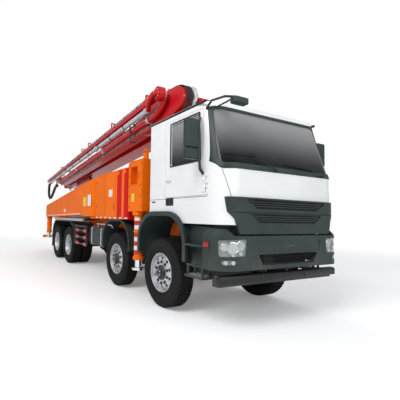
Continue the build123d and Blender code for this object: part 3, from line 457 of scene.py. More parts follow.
# ---------------------------------------------------------------- repeats
class CopyTree(Graph):
    """Geometry node tree that copies a form and ends in plain, finished geometry."""

    def __init__(self, name: str, **sockets: str) -> None:
        """Begin with the named inputs.

        Args:
            name: the tree's name.
            sockets: type of each input between the geometry and the finish.
        """
        self.tree = bpy.data.node_groups.new(name, "GeometryNodeTree")
        for label, kind in {"Geometry": "Geometry", **sockets, "Finish": "Material"}.items():
            self.tree.interface.new_socket(label, in_out="INPUT", socket_type=f"NodeSocket{kind}")
        self.tree.interface.new_socket("Geometry", in_out="OUTPUT", socket_type="NodeSocketGeometry")
        self.given = self.tree.nodes.new("NodeGroupInput").outputs

    def end(self, copies: bpy.types.Node) -> bpy.types.NodeTree:
        """Realize the copies, set their material and give the tree."""
        real = self.node("GeometryNodeRealizeInstances", {0: copies.outputs[0]})
        done = self.node("GeometryNodeSetMaterial", {"Geometry": real.outputs[0], "Material": self.given["Finish"]})
        self.node("NodeGroupOutput", {0: done.outputs[0]})
        return self.tree


@dataclass(frozen=True)
class Row:
    """Copies in a straight row, one step apart."""

    count: int
    step: Vector
    label = "copies_in_a_row"

    def tree(self) -> bpy.types.NodeTree:
        """Build the node tree."""
        made = CopyTree(self.label, Count="Int", Step="Vector")
        line = made.node("GeometryNodeMeshLine", {"Count": made.given["Count"], "Offset": made.given["Step"]},
                         mode="OFFSET")
        return made.end(made.node("GeometryNodeInstanceOnPoints", {"Points": line.outputs[0],
                                                                   "Instance": made.given["Geometry"]}))

    def values(self) -> dict[str, Any]:
        """Values of the tree's inputs."""
        return {"Count": self.count, "Step": tuple(self.step)}


@dataclass(frozen=True)
class Ring:
    """Copies evenly about an axle."""

    count: int
    axle: Vector
    around: Point = (0.0, 1.0, 0.0)
    label = "copies_in_a_ring"

    def tree(self) -> bpy.types.NodeTree:
        """Build the node tree."""
        made = CopyTree(self.label, Count="Int", Axle="Vector", Around="Vector")
        given = made.given
        away = made.node("ShaderNodeVectorMath", {0: given["Axle"], "Scale": -1.0}, operation="SCALE")
        centred = made.node("GeometryNodeTransform", {"Geometry": given["Geometry"], "Translation": away.outputs[0]})
        share = made.node("ShaderNodeMath", {0: made.node("GeometryNodeInputIndex").outputs[0], 1: given["Count"]},
                          operation="DIVIDE")
        angle = made.node("ShaderNodeMath", {0: share.outputs[0], 1: tau}, operation="MULTIPLY")
        turn = made.node("FunctionNodeAxisAngleToRotation", {"Axis": given["Around"], "Angle": angle.outputs[0]})
        points = made.node("GeometryNodePoints", {"Count": given["Count"]})
        copies = made.node("GeometryNodeInstanceOnPoints", {"Points": points.outputs[0],
                                                            "Instance": centred.outputs[0],
                                                            "Rotation": turn.outputs[0]})
        return made.end(made.node("GeometryNodeTransform", {"Geometry": copies.outputs[0],
                                                            "Translation": given["Axle"]}))

    def values(self) -> dict[str, Any]:
        """Values of the tree's inputs."""
        return {"Count": self.count, "Axle": tuple(self.axle), "Around": self.around}


def grow(piece: bpy.types.Object, repeat: Row | Ring, material: bpy.types.Material) -> None:
    """Run a piece through a repeat's tree and keep the result as its plain mesh.

    Args:
        piece: the piece.
        repeat: the row or ring.
        material: the finish of the copies.
    """
    modifier = piece.modifiers.new(repeat.label, "NODES")
    modifier.node_group = bpy.data.node_groups.get(repeat.label) or repeat.tree()
    values = {**repeat.values(), "Finish": material}
    for item in modifier.node_group.interface.items_tree:
        if item.in_out == "INPUT" and item.name in values:
            modifier[item.identifier] = values[item.name]
    keep_shape(piece)


def keep_shape(piece: bpy.types.Object) -> None:
    """Make what a piece's modifiers give its plain mesh."""
    mesh = bpy.data.meshes.new_from_object(piece.evaluated_get(bpy.context.evaluated_depsgraph_get()))
    piece.modifiers.clear()
    piece.data = mesh


def link(name: str, data: Any) -> bpy.types.Object:
    """Add an object with this name and data to the scene."""
    made = bpy.data.objects.new(name, data)
    bpy.context.scene.collection.objects.link(made)
    return made


# ---------------------------------------------------------------- forms
def smooth_path(points: Sequence[Vector], steps: int = 8) -> list[Vector]:
    """Run a smooth line through points.

    Args:
        points: the places it passes.
        steps: pieces between two of them.

    Returns:
        The line's points.
    """
    padded = [points[0] * 2 - points[1], *points, points[-1] * 2 - points[-2]]
    line = []
    for before, start, end, after in zip(padded, padded[1:], padded[2:], padded[3:]):
        for t in (number / steps for number in range(steps)):
            line.append(0.5 * (2 * start + (end - before) * t + (2 * before - 5 * start + 4 * end - after) * t * t
                               + (3 * start - before - 3 * end + after) * t ** 3))
    return line + [points[-1]]


def both_ways(half: Sequence[Point2]) -> list[Point2]:
    """Profile that is the same on both sides of its middle, from its half."""
    return [(radius, -along) for radius, along in half] + [(radius, along) for radius, along in half[::-1] if along]


class Form:
    """A mesh under construction, in metres in the part's frame."""

    def __init__(self) -> None:
        """Start with nothing."""
        self.shape = bmesh.new()

    def skin(self, rings: Sequence[Sequence[Vector]], closed: bool = False) -> "Form":
        """Join rings of equal size.

        Args:
            rings: the rings' points.
            closed: True where the last ring meets the first.

        Returns:
            The form.
        """
        rows = [[self.shape.verts.new(point) for point in ring] for ring in rings]
        for first, second in list(zip(rows, rows[1:])) + ([(rows[-1], rows[0])] if closed else []):
            for number in range(len(first)):
                after = (number + 1) % len(first)
                self.shape.faces.new((first[number], first[after], second[after], second[number]))
        if not closed:
            self.shape.faces.new(rows[0][::-1])
            self.shape.faces.new(rows[-1])
        return self

    def prism(self, outline: Sequence[Vector], depth: Vector) -> "Form":
        """Push a flat outline along a depth."""
        return self.skin([list(outline), [point + depth for point in outline]])

    def box(self, x: Point2, y: Point2, z: Point2) -> "Form":
        """Box between two millimetre values on each axis."""
        low, high = spot(min(x), min(y), min(z)), spot(max(x), max(y), max(z))
        foot = [Vector((a, b, low.z)) for a, b in (
            (low.x, low.y), (high.x, low.y), (high.x, high.y), (low.x, high.y))]
        return self.prism(foot, Z * (high.z - low.z))

    def pad(self, middle: Vector, along: Vector, across: Vector, out: Vector, inset: float = 0.8) -> "Form":
        """Raised pad with sloping sides, by half its foot's length and width, its height and its top's share."""
        return self.skin([[middle + along * a + across * b for a, b in SQUARE],
                          [middle + out + along * (a * inset) + across * (b * inset) for a, b in SQUARE]])

    def plate(self, x: Number, face: Number, z: Number, half_x: float, half_z: float, rise: float,
              inset: float = 0.9) -> "Form":
        """Pad on an upright face that lies face millimetres to the left; half sizes and rise in metres."""
        return self.pad(spot(x, face, z), X * half_x, Z * half_z, Y * copysign(rise, face), inset)

    def lathe(self, profile: Sequence[Point2], centre: Vector, around: Vector, steps: int = 48,
              closed: bool = False) -> "Form":
        """Turn a profile about an axis.

        Args:
            profile: distance from the axis and place along it, in metres.
            centre: the axis's origin.
            around: the axis's direction.
            steps: facets in a full turn.
            closed: True where the profile is a closed outline away from the axis.

        Returns:
            The form.
        """
        axis = around.normalized()
        side = axis.orthogonal().normalized()
        other = axis.cross(side)
        ends = list(profile) if closed else [(0.0, profile[0][1]), *profile, (0.0, profile[-1][1])]
        rings = []
        for number in range(steps):
            outwards = side * cos(tau * number / steps) + other * sin(tau * number / steps)
            rings.append([centre + outwards * radius + axis * place for radius, place in ends])
        return self.skin(rings, closed=True)

    def collars(self, rows: Sequence[Point], axis: Vector, steps: int) -> "Form":
        """Rings round an upright tube, by the low end, high end and radius of each."""
        for low, high, radius in rows:
            self.lathe([(radius - 0.004, low), (radius, low + 0.004), (radius, high - 0.004), (radius - 0.004, high)],
                       axis, Z, steps)
        return self

    def tube(self, path: Sequence[Vector], radius: float, sides: int = 12) -> "Form":
        """Round bar along a path.

        Args:
            path: its points.
            radius: its radius in metres.
            sides: facets round it.

        Returns:
            The form.
        """
        ahead = [(after - before).normalized() for before, after in
                 zip([path[0], *path[:-1]], [*path[1:], path[-1]])]
        side = ahead[0].orthogonal().normalized()
        rings = []
        for point, forward in zip(path, ahead):
            side = (side - forward * side.dot(forward)).normalized()
            other = forward.cross(side)
            rings.append([point + side * (radius * cos(tau * k / sides)) + other * (radius * sin(tau * k / sides))
                          for k in range(sides)])
        return self.skin(rings)

    def loop(self, corners: Sequence[Vector], radius: float = 0.010) -> "Form":
        """Round beading from corner to corner and back to the first."""
        for start, end in zip(corners, [*corners[1:], corners[0]]):
            self.tube([start, start.lerp(end, 0.5), end], radius, 8)
        return self

    def strip(self, points: Sequence[Vector], out: Vector, width: float) -> "Form":
        """Thin strip that follows a line on a surface.

        Args:
            points: the line.
            out: direction away from the surface.
            width: the strip's width in metres.

        Returns:
            The form.
        """
        rings = []
        for number, point in enumerate(points):
            ahead = (points[min(number + 1, len(points) - 1)] - points[max(number - 1, 0)]).normalized()
            side = ahead.cross(out).normalized() * (width / 2)
            rings.append([point + out * rise + side * turn
                          for rise, turn in ((-0.003, -1), (-0.003, 1), (0.0009, 1), (0.0009, -1))])
        return self.skin(rings)

    def band(self, centre: Vector, low: float, high: float, radius: float, middle: float, half: float) -> "Form":
        """Curved strip round part of an upright tube.

        Args:
            centre: the tube's axis on the ground.
            low: its lower edge in metres.
            high: its upper edge.
            radius: the tube's radius.
            middle: angle of its middle from +X, in degrees.
            half: half the angle that it covers.

        Returns:
            The form.
        """
        rings = []
        for number in range(13):
            angle = radians(middle - half + 2 * half * number / 12)
            out = Vector((cos(angle), sin(angle), 0))
            rings.append([centre + out * (radius + rise) + Vector((0, 0, up))
                          for rise, up in ((-0.001, low), (0.0015, low), (0.0015, high), (-0.001, high))])
        return self.skin(rings)

    def bolt(self, seat: Vector, out: Vector, radius: float = 0.012) -> "Form":
        """Hexagon head on a washer.

        Args:
            seat: where the washer lies.
            out: direction away from the seat.
            radius: half the head's width over its corners.

        Returns:
            The form.
        """
        self.lathe([(radius * 1.35, 0.0), (radius * 1.35, radius * 0.2)], seat, out, 14)
        profile = [(radius, radius * 0.2), (radius, radius * 0.85), (radius * 0.8, radius * 0.95)]
        return self.lathe(profile, seat, out, 6)

    def mirrored(self) -> "Form":
        """Add the same form on the truck's other side."""
        copies = bmesh.ops.duplicate(self.shape, geom=self.shape.faces[:] + self.shape.edges[:] + self.shape.verts[:])
        for item in copies["geom"]:
            if isinstance(item, bmesh.types.BMVert):
                item.co.y = -item.co.y
        return self

    def finish(self, name: str, body: str, slot: str, material: bpy.types.Material, edge: float = 0.0,
               repeats: Sequence[Row | Ring] = ()) -> bpy.types.Object:
        """Turn the form into a finished piece.

        Args:
            name: the piece's name.
            body: the body that carries it.
            slot: the material slot that its finish belongs to; not used.
            material: its finish.
            edge: width in metres of a rounding on its sharp edges.
            repeats: rows and rings of copies.

        Returns:
            The piece.
        """
        bmesh.ops.remove_doubles(self.shape, verts=self.shape.verts[:], dist=1e-6)
        bmesh.ops.recalc_face_normals(self.shape, faces=self.shape.faces[:])
        if edge:
            sharp = [e for e in self.shape.edges if len(e.link_faces) == 2 and e.calc_face_angle(0.0) > radians(40)]
            bmesh.ops.bevel(self.shape, geom=sharp, offset=edge, segments=2, profile=0.5, affect="EDGES",
                            clamp_overlap=True)
        mesh = bpy.data.meshes.new(name)
        self.shape.to_mesh(mesh)
        self.shape.free()
        mesh.materials.append(material)
        piece = link(name, mesh)
        for repeat in repeats:
            grow(piece, repeat, material)
        smooth_faces(piece)
        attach(piece, body)
        return piece


def smooth_faces(piece: bpy.types.Object, sharp: float = 35.0) -> None:
    """Shade a piece smooth across edges flatter than so many degrees."""
    piece.data.shade_smooth()
    piece.data.set_sharp_from_angle(angle=radians(sharp))


# ---------------------------------------------------------------- studio
@dataclass
class Studio:
    """Camera, lamps, floor and surroundings."""

    eye: Point = (8.82, -3.89, 1.41)
    heading: float = 27.41
    pitch: float = 3.02
    roll: float = 1.25
    focal_length: float = 28.86
    sideways_shift: float = 0.161
    floor_half: float = 120.0
    glow: float = 0.16
    fade: Point2 = (7.0, 15.0)
    white: Colour = (1.0, 1.0, 1.0)

    def camera(self) -> None:
        """Set up the camera at the truck's front right corner."""
        yaw, pitch, roll = radians(self.heading), radians(self.pitch), radians(self.roll)
        ahead = Vector((-cos(yaw) * cos(pitch), sin(yaw) * cos(pitch), sin(pitch)))
        right = ahead.cross(Z).normalized()
        up = right.cross(ahead)
        right, up = (right * cos(roll) + up * sin(roll)), (up * cos(roll) - right * sin(roll))
        made = link("camera", bpy.data.cameras.new("camera"))
        made.matrix_world = Matrix.Translation(self.eye) @ Matrix((right, up, -ahead)).transposed().to_4x4()
        made.data.lens = self.focal_length
        made.data.shift_x = self.sideways_shift
        made.data.clip_end = 500.0
        bpy.context.scene.camera = made

    def lamp(self, name: str, place: Point, target: Point, size: float, power: float) -> None:
        """Add one soft square lamp.

        Args:
            name: the lamp's name.
            place: where it hangs.
            target: where it points.
            size: its side in metres.
            power: its power in watts.
        """
        data = bpy.data.lights.new(name, "AREA")
        data.shape, data.size, data.energy = "SQUARE", size, power
        made = link(name, data)
        made.location = place
        made.rotation_mode = "QUATERNION"
        made.rotation_quaternion = (Vector(target) - Vector(place)).to_track_quat("-Z", "Y")

    def surroundings(self) -> None:
        """White world for what the camera and clear glass see, and a soft grey light otherwise."""
        graph = Graph("studio", world=True)
        bpy.context.scene.world = graph.owner
        path = graph.node("ShaderNodeLightPath").outputs
        seen = graph.level("ShaderNodeMath", {0: path["Is Camera Ray"], 1: path["Is Transmission Ray"]},
                           operation="MAXIMUM")
        soft = graph.node("ShaderNodeBackground", {0: (0.93, 0.96, 1.0), 1: 0.50})
        plain = graph.node("ShaderNodeBackground", {0: self.white})
        graph.close(graph.node("ShaderNodeMixShader", {0: seen, 1: soft.outputs[0], 2: plain.outputs[0]}))

    def floor(self) -> None:
        """Lay the pale floor, which fades to white away from the truck."""
        graph = Graph("studio_floor")
        shade = graph.noise(0.4, 2.0).ramp(0.2, 0.8)
        graph.surface(Base_Color=graph.blend(shade, (0.90, 0.90, 0.90), (0.87, 0.87, 0.87)), Roughness=0.9)
        matt = graph.output.inputs[0].links[0].from_socket
        x, y, _ = graph.axes()
        away = ((x * x + y * y) ** 0.5).ramp(*self.fade)
        seen = graph.level("ShaderNodeLightPath", output="Is Camera Ray")
        bright = graph.node("ShaderNodeEmission", {"Color": self.white, "Strength": 1.0})
        lift = graph.node("ShaderNodeEmission", {"Color": self.white, "Strength": seen * self.glow})
        near = graph.node("ShaderNodeAddShader", {0: matt, 1: lift.outputs[0]})
        mixed = graph.node("ShaderNodeMixShader", {0: seen * away, 1: near.outputs[0], 2: bright.outputs[0]})
        mesh = bpy.data.meshes.new("studio_floor")
        mesh.from_pydata([(a * self.floor_half, b * self.floor_half, 0) for a, b in SQUARE], [], [(0, 1, 2, 3)])
        mesh.materials.append(graph.close(mixed))
        link("studio_floor", mesh)

    def build(self) -> None:
        """Set up the whole studio."""
        bpy.context.scene.view_settings.view_transform = "Standard"
        self.camera()
        self.surroundings()
        self.floor()
        self.lamp("key_lamp", (9.0, -13.0, 13.0), (1.0, 0.0, 1.5), 9.0, 2150.0)
        self.lamp("front_lamp", (19.0, 3.0, 8.0), (2.0, 0.0, 1.5), 8.0, 850.0)
        self.lamp("rear_lamp", (-14.0, 6.0, 12.0), (-2.0, 0.0, 1.5), 9.0, 700.0)


# ---------------------------------------------------------------- sub-assemblies
# material slot of each finish that has no slot of its own name
SLOTS = {"trim_black": "dark_plastic", "hub_iron": "black_steel", "galvanised": "grey_steel",
         "pale_pipe": "grey_steel", "chrome": "lamp_lens", "bulb_glass": "lamp_lens", "red_lens": "lamp_lens",
         "amber_lens": "lamp_lens", "mirror_glass": "bright_rod", "wheel_silver": "bright_rod",
         "white_tape": "orange_paint", "red_tape": "orange_paint", "yellow_plate": "orange_paint",
         "white_plate": "orange_paint"}


@dataclass
class Fittings:
    """A sub-assembly in the truck's finishes."""

    finishes: Finishes

    def put(self, form: Form, name: str, look: str, *repeats: Row | Ring, body: str = "truck", slot: str = "",
            edge: float = 0.0) -> bpy.types.Object:
        """Finish a form as one piece, with the finish named by look."""
        return form.finish(name, body, slot or SLOTS.get(look, look), self.finishes[look], edge, repeats)


@dataclass
class EndHose(Fittings):
    """Rubber hose that hangs from the last section's pipe and is clipped back to the boom."""

    route: tuple[Point, ...] = (
        (-5.47330, -0.73, 2.83560), (-5.71209, -0.73, 2.81470), (-5.78376, -0.73, 2.37177),
        (-5.44792, -0.73, 2.08997), (-4.88930, -0.73, 2.35968), (-4.57840, -0.73, 2.59237),
        (-4.28044, -0.73, 2.62877))
    radius: float = 0.055
    length: float = 2.27

    def build(self) -> None:
        data = bpy.data.curves.new("end_hose_cord", "CURVE")
        data.dimensions = "3D"
        data.bevel_depth, data.bevel_resolution, data.use_fill_caps = self.radius, 7, True
        data.resolution_u = 24
        spline = data.splines.new("NURBS")
        spline.points.add(len(self.route) - 1)
        for point, place in zip(spline.points, self.route):
            point.co = (*place, 1.0)
        spline.order_u = 3
        spline.use_endpoint_u = True
        data.materials.append(self.finishes["hose_rubber"])
        hose = link("end_hose_cord", data)
        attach(hose, "boom_section_5")
        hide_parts("end_hose")


@dataclass
class RoadWheels(Fittings):
    """Treaded tyres on silver wheels, single in front and twin at the rear."""

    height: float = 540.0
    axles: tuple[float, ...] = (0.0, -1730.0, -5120.0, -6470.0)
    front_track: float = 1025.0
    twin_track: Point2 = (760.0, 1080.0)
    twin_seat: float = 910.0
    tread_radius: float = 0.539
    groove: float = 0.014
    pitches: int = 54
    nuts: int = 10
    nut_circle: float = 0.1675
    hand_holes: int = 10

    def tyre(self, axle: Vector) -> Form:
        """Carcass of one tyre round its axle."""
        base = self.tread_radius - self.groove
        half = [(0.287, 0.095), (0.304, 0.114), (0.316, 0.125), (0.350, 0.139), (0.395, 0.1478), (0.398, 0.1496),
                (0.404, 0.1496), (0.407, 0.1482), (0.435, 0.1495), (0.470, 0.1465), (0.492, 0.1405),
                (0.495, 0.1415), (0.501, 0.1385), (0.512, 0.1305), (base, 0.1165), (base + 0.001, 0.06)]
        return Form().lathe(both_ways(half), axle, Y, 96, closed=True)

    def pitch(self, axle: Vector) -> Form:
        """One pitch of the tread, above the axle."""
        form = Form()
        base = axle + Z * (self.tread_radius - self.groove - 0.002)
        step = tau * self.tread_radius / self.pitches
        for across, width, shift, share, skew in ((-0.094, 0.019, 0.0, 0.40, 0.0), (-0.052, 0.014, 0.3, 0.43, 0.003),
                                                  (0.0, 0.021, -0.2, 0.45, 0.003), (0.052, 0.014, 0.3, 0.43, 0.003),
                                                  (0.094, 0.019, 0.0, 0.40, 0.0)):
            form.pad(base + Vector((shift * step * 0.5, across, 0)), Vector((step * share, skew, 0)), Y * width,
                     Z * (self.groove + 0.002 - 0.0006), 0.9)
        return form

    def rim(self, axle: Vector, outer: float) -> Form:
        """Rim of one tyre, with its lips and drop centre, by the side that faces out."""
        half = 0.128
        profile = [(0.306, half - 0.004), (0.303, half), (0.294, half), (0.287, half - 0.012),
                   (0.281, 0.06), (0.266, 0.035), (0.266, -0.035), (0.278, -0.06), (0.279, -half),
                   (0.306, -half), (0.306, -half + 0.01), (0.289, -half + 0.014), (0.286, -0.06),
                   (0.274, -0.035), (0.274, 0.035), (0.286, 0.06), (0.289, half - 0.014), (0.306, half - 0.010)]
        return Form().lathe([(radius, along * outer) for radius, along in profile], axle, Y, 72, closed=True)

    def disc(self, body: str, axle: Vector, outer: float, dish: float) -> bpy.types.Object:
        """Dished disc with its hand holes cut through.

        Args:
            body: the wheel's body.
            axle: middle of the disc's rim seat.
            outer: 1 or -1, the side that faces out.
            dish: how far its middle stands out.

        Returns:
            The disc.
        """
        profile = [(0.060, dish), (0.178, dish), (0.196, dish - 0.004), (0.255, 0.012), (0.268, 0.0), (0.276, -0.012),
                   (0.276, 0.000), (0.268, 0.012), (0.256, 0.024), (0.198, dish + 0.009), (0.178, dish + 0.013),
                   (0.060, dish + 0.013)]
        cutter = Form()
        for number in range(self.hand_holes):
            angle = tau * (number + 0.5) / self.hand_holes
            middle = axle + Vector((0.222 * cos(angle), 0, 0.222 * sin(angle)))
            cutter.tube([middle - Y * 0.12, middle + Y * 0.16], 0.026, 20)
        tool = self.put(cutter, f"disc_{body}_cutter", "wheel_silver")
        plate = Form().lathe([(r, y * outer) for r, y in profile], axle, Y, 80, closed=True)
        disc = self.put(plate, f"disc_{body}", "wheel_silver", body=body)
        cut = disc.modifiers.new("hand_holes", "BOOLEAN")
        cut.operation, cut.object, cut.solver = "DIFFERENCE", tool, "EXACT"
        keep_shape(disc)
        bpy.data.objects.remove(tool)
        smooth_faces(disc)
        return disc

    def wheel(self, number: int, side: Side) -> None:
        """Build one wheel and let it stand for its node.

        Args:
            number: its axle, from 1 at the front.
            side: the side that it is on.
        """
        sign, x, twin, body = side.value, self.axles[number - 1], number > 2, f"wheel_{number}_{side.word}"
        pieces = []
        for tyre, track in enumerate(self.twin_track if twin else (self.front_track,)):
            axle = spot(x, sign * track, self.height)
            outer = -sign if twin and tyre == 0 else sign
            pieces += [self.put(self.tyre(axle), f"tyre_{body}_{tyre}", "tyre_rubber", body=body),
                       self.put(self.pitch(axle), f"tread_{body}_{tyre}", "tyre_rubber", Ring(self.pitches, axle),
                                body=body),
                       self.put(self.rim(axle, outer), f"rim_{body}_{tyre}", "wheel_silver", body=body)]
        if twin:
            seat, dish, cap_out, circle, screws = self.twin_seat, -0.004, 0.142, 0.082, 8
            profile = [(0.135, -0.04), (0.135, 0.040), (0.128, 0.056), (0.106, 0.070), (0.104, 0.135), (0.098, 0.142),
                       (0.030, 0.142), (0.026, 0.150)]
        else:
            seat, dish, cap_out, circle, screws = self.front_track + 58, 0.034, 0.066, 0.052, 6
            profile = [(0.114, -0.10), (0.114, 0.022), (0.108, 0.030), (0.080, 0.036), (0.076, 0.060), (0.070, 0.066),
                       (0.022, 0.067)]
        middle = spot(x, sign * seat, self.height)
        pieces.append(self.disc(body, middle, sign, dish))
        face = middle + Y * (sign * (dish + 0.013))
        first = face + Z * self.nut_circle
        nuts = Form().bolt(first, Y * sign, 0.019).tube([first, first + Y * (sign * 0.026)], 0.011, 10)
        hub = Form().lathe([(r, y * sign) for r, y in profile], face, Y, 48)
        cap = face + Y * (sign * cap_out)
        heads = Form().bolt(cap + Z * circle, Y * sign, 0.009)
        for name, form, look, repeats in (("nuts", nuts, "hub_iron", [Ring(self.nuts, face)]),
                                          ("hub", hub, "hub_iron", []),
                                          ("hub_screws", heads, "wheel_silver", [Ring(screws, cap)])):
            pieces.append(self.put(form, f"{name}_{body}", look, *repeats, body=body, slot="cast_metal"))
        for piece in pieces:
            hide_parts(body)

    def build(self) -> None:
        """Build all eight wheels."""
        for side in Side:
            for number in range(1, len(self.axles) + 1):
                self.wheel(number, side)


@dataclass
class CabFittings(Fittings):
    """Wipers, roof rail, seams, recesses, mirror glass and grille mesh."""

    front: float = 1405.0
    belt: float = 2080.0
    lean: float = 0.325
    half: float = 1150.0
    corner: float = 280.0
    wire: float = 0.0022

    def skin(self, y: float, z: float, out: float = 0.0) -> Vector:
        """Place on the cab's front, or so many millimetres in front of it."""
        x = rounded_front(self.front, self.half, self.corner, y)
        return spot(x - max(0.0, z - self.belt) * self.lean + out, y, z)

    def build_wipers(self) -> None:
        """Two wipers parked along the screen's foot: spindle, arm to the knee, and blade."""
        for name, pivot, knee, start, end in (
                ("right", (-229.0, 2070.0), (-640.0, 2274.0), (-1060.0, 2250.0), (-470.0, 2284.0)),
                ("left", (760.0, 2070.0), (380.0, 2190.0), (30.0, 2206.0), (700.0, 2166.0))):
            form = Form().tube([self.skin(*pivot, -6.0), self.skin(*pivot, 44.0)], 0.016, 16)
            third = [(a * 2 + b) / 3 for a, b in zip(pivot, knee)]
            form.tube([self.skin(*pivot, 34.0), self.skin(*third, 40.0), self.skin(*knee, 30.0)], 0.007, 8)
            for out, radius in ((30.0, 0.006), (20.0, 0.0035)):
                form.tube([self.skin(*(a + (b - a) * k / 6 for a, b in zip(start, end)), out) for k in range(7)],
                          radius, 8)
            form.tube([self.skin(*knee, 34.0), self.skin(*knee, 14.0)], 0.008, 8)
            self.put(form, f"wiper_{name}", "trim_black")

    def build_roof(self) -> None:
        """Black rails along the roof's side edges and ribs on top."""
        rail = Form().prism([spot(-378, y, z) for y, z in ((1136, 2968), (1154, 2962), (1156, 2994), (1138, 3004))],
                            X * 1.440)
        self.put(rail.mirrored(), "roof_rails", "trim_black", edge=0.004)
        ribs = Form()
        for y in (-150, 0, 150):
            ribs.pad(spot(300, y, 3000), X * 0.20, Y * 0.060, Z * 0.022, 0.85)
        self.put(ribs, "roof_ribs", "white_paint", edge=0.004)

    def build_seams(self) -> None:
        """Panel joints of the nose and of the lower side panels."""
        form = Form()
        for sign in (-1, 1):
            line = [self.skin(sign * (1085 - 90 * k / 10), 2040 - 345 * k / 10) for k in range(11)]
            form.strip(line, Vector((0.75, 0.66 * sign, 0)), 0.007)
            form.strip([spot(x, sign * self.half, 1700.0) for x in (-378, 0, 400, 800, 1100)], Y * sign, 0.006)
        self.put(form, "panel_joints", "trim_black")

    def build_sides(self) -> None:
        """Grab recess, breather slot and door pull of each side."""
        for side in Side:
            sign, face = side.value, side.value * self.half
            frame = Form()
            for x, z, half_x, half_z in ((227, 1600, 0.104, 0.007), (227, 1704, 0.104, 0.007),
                                         (130, 1652, 0.007, 0.052), (324, 1652, 0.007, 0.052)):
                frame.plate(x, face, z, half_x, half_z, 0.007)
            self.put(frame, f"grab_frame_{side.word}", "dark_plastic", edge=0.002)
            bowl = Form().plate(227, face, 1652, 0.096, 0.046, 0.0025, 0.98)
            self.put(bowl, f"grab_bowl_{side.word}", "trim_black")
            self.put(Form().plate(-254, face, 1662, 0.055, 0.013, 0.004), f"breather_{side.word}", "trim_black",
                     edge=0.001)
            path = [spot(x, sign * y, 1985)
                    for x, y in ((140, 1152), (150, 1180), (205, 1186), (262, 1180), (272, 1152))]
            pull = Form().tube(smooth_path(path, 4), 0.010, 10).plate(206, sign * 1149, 1985, 0.088, 0.030, 0.006)
            self.put(pull, f"door_pull_{side.word}", "white_paint", body=f"door_{side.word}")

    def build_mirrors(self) -> None:
        """Glass in the four door mirrors."""
        for side in Side:
            glass = Form()
            for low, high in ((2352, 2698), (2194, 2308)):
                glass.pad(spot(964.5, side.value * 1345, (low + high) / 2), Y * 0.094, Z * ((high - low) / 2000),
                          X * -0.004, 0.95)
            self.put(glass, f"mirror_glass_{side.word}", "mirror_glass", body=f"door_{side.word}", edge=0.001)

    def build_window_seals(self) -> None:
        """Rubber round the door windows."""
        for side in Side:
            seal = Form().loop([spot(x, side.value * (self.half + 1), z)
                                for x, z in ((232, 2192), (963, 2192), (933, 2858), (232, 2858))])
            self.put(seal, f"window_seal_{side.word}", "trim_black", body=f"door_{side.word}")

    def build_mesh(self) -> None:
        """Dark backing and wire mesh in the grille's two openings."""
        for name, half, low, high in (("upper", 620, 1552, 1664), ("lower", 575, 1372, 1476)):
            upright = Form().tube([spot(self.front + 17, -half, z) for z in (low, high)], self.wire, 6)
            self.put(upright, f"grille_uprights_{name}", "trim_black", Row(int(2 * half / 22) + 1, Y * 0.022))
            back = Form().prism([spot(self.front + 10.5, y, z) for y, z in (
                (-half - 150, high), (-half, low), (half, low), (half + 150, high))], X * 0.003)
            self.put(back, f"grille_back_{name}", "trim_black")
            level = Form().tube([spot(self.front + 20, y, low) for y in (-half, half)], self.wire, 6)
            self.put(level, f"grille_levels_{name}", "trim_black", Row(int((high - low) / 18) + 1, Z * 0.018))

    def build(self) -> None:
        """Build every fitting of the cab."""
        for build in (self.build_wipers, self.build_roof, self.build_seams, self.build_sides, self.build_mirrors,
                      self.build_window_seals, self.build_mesh):
            build()


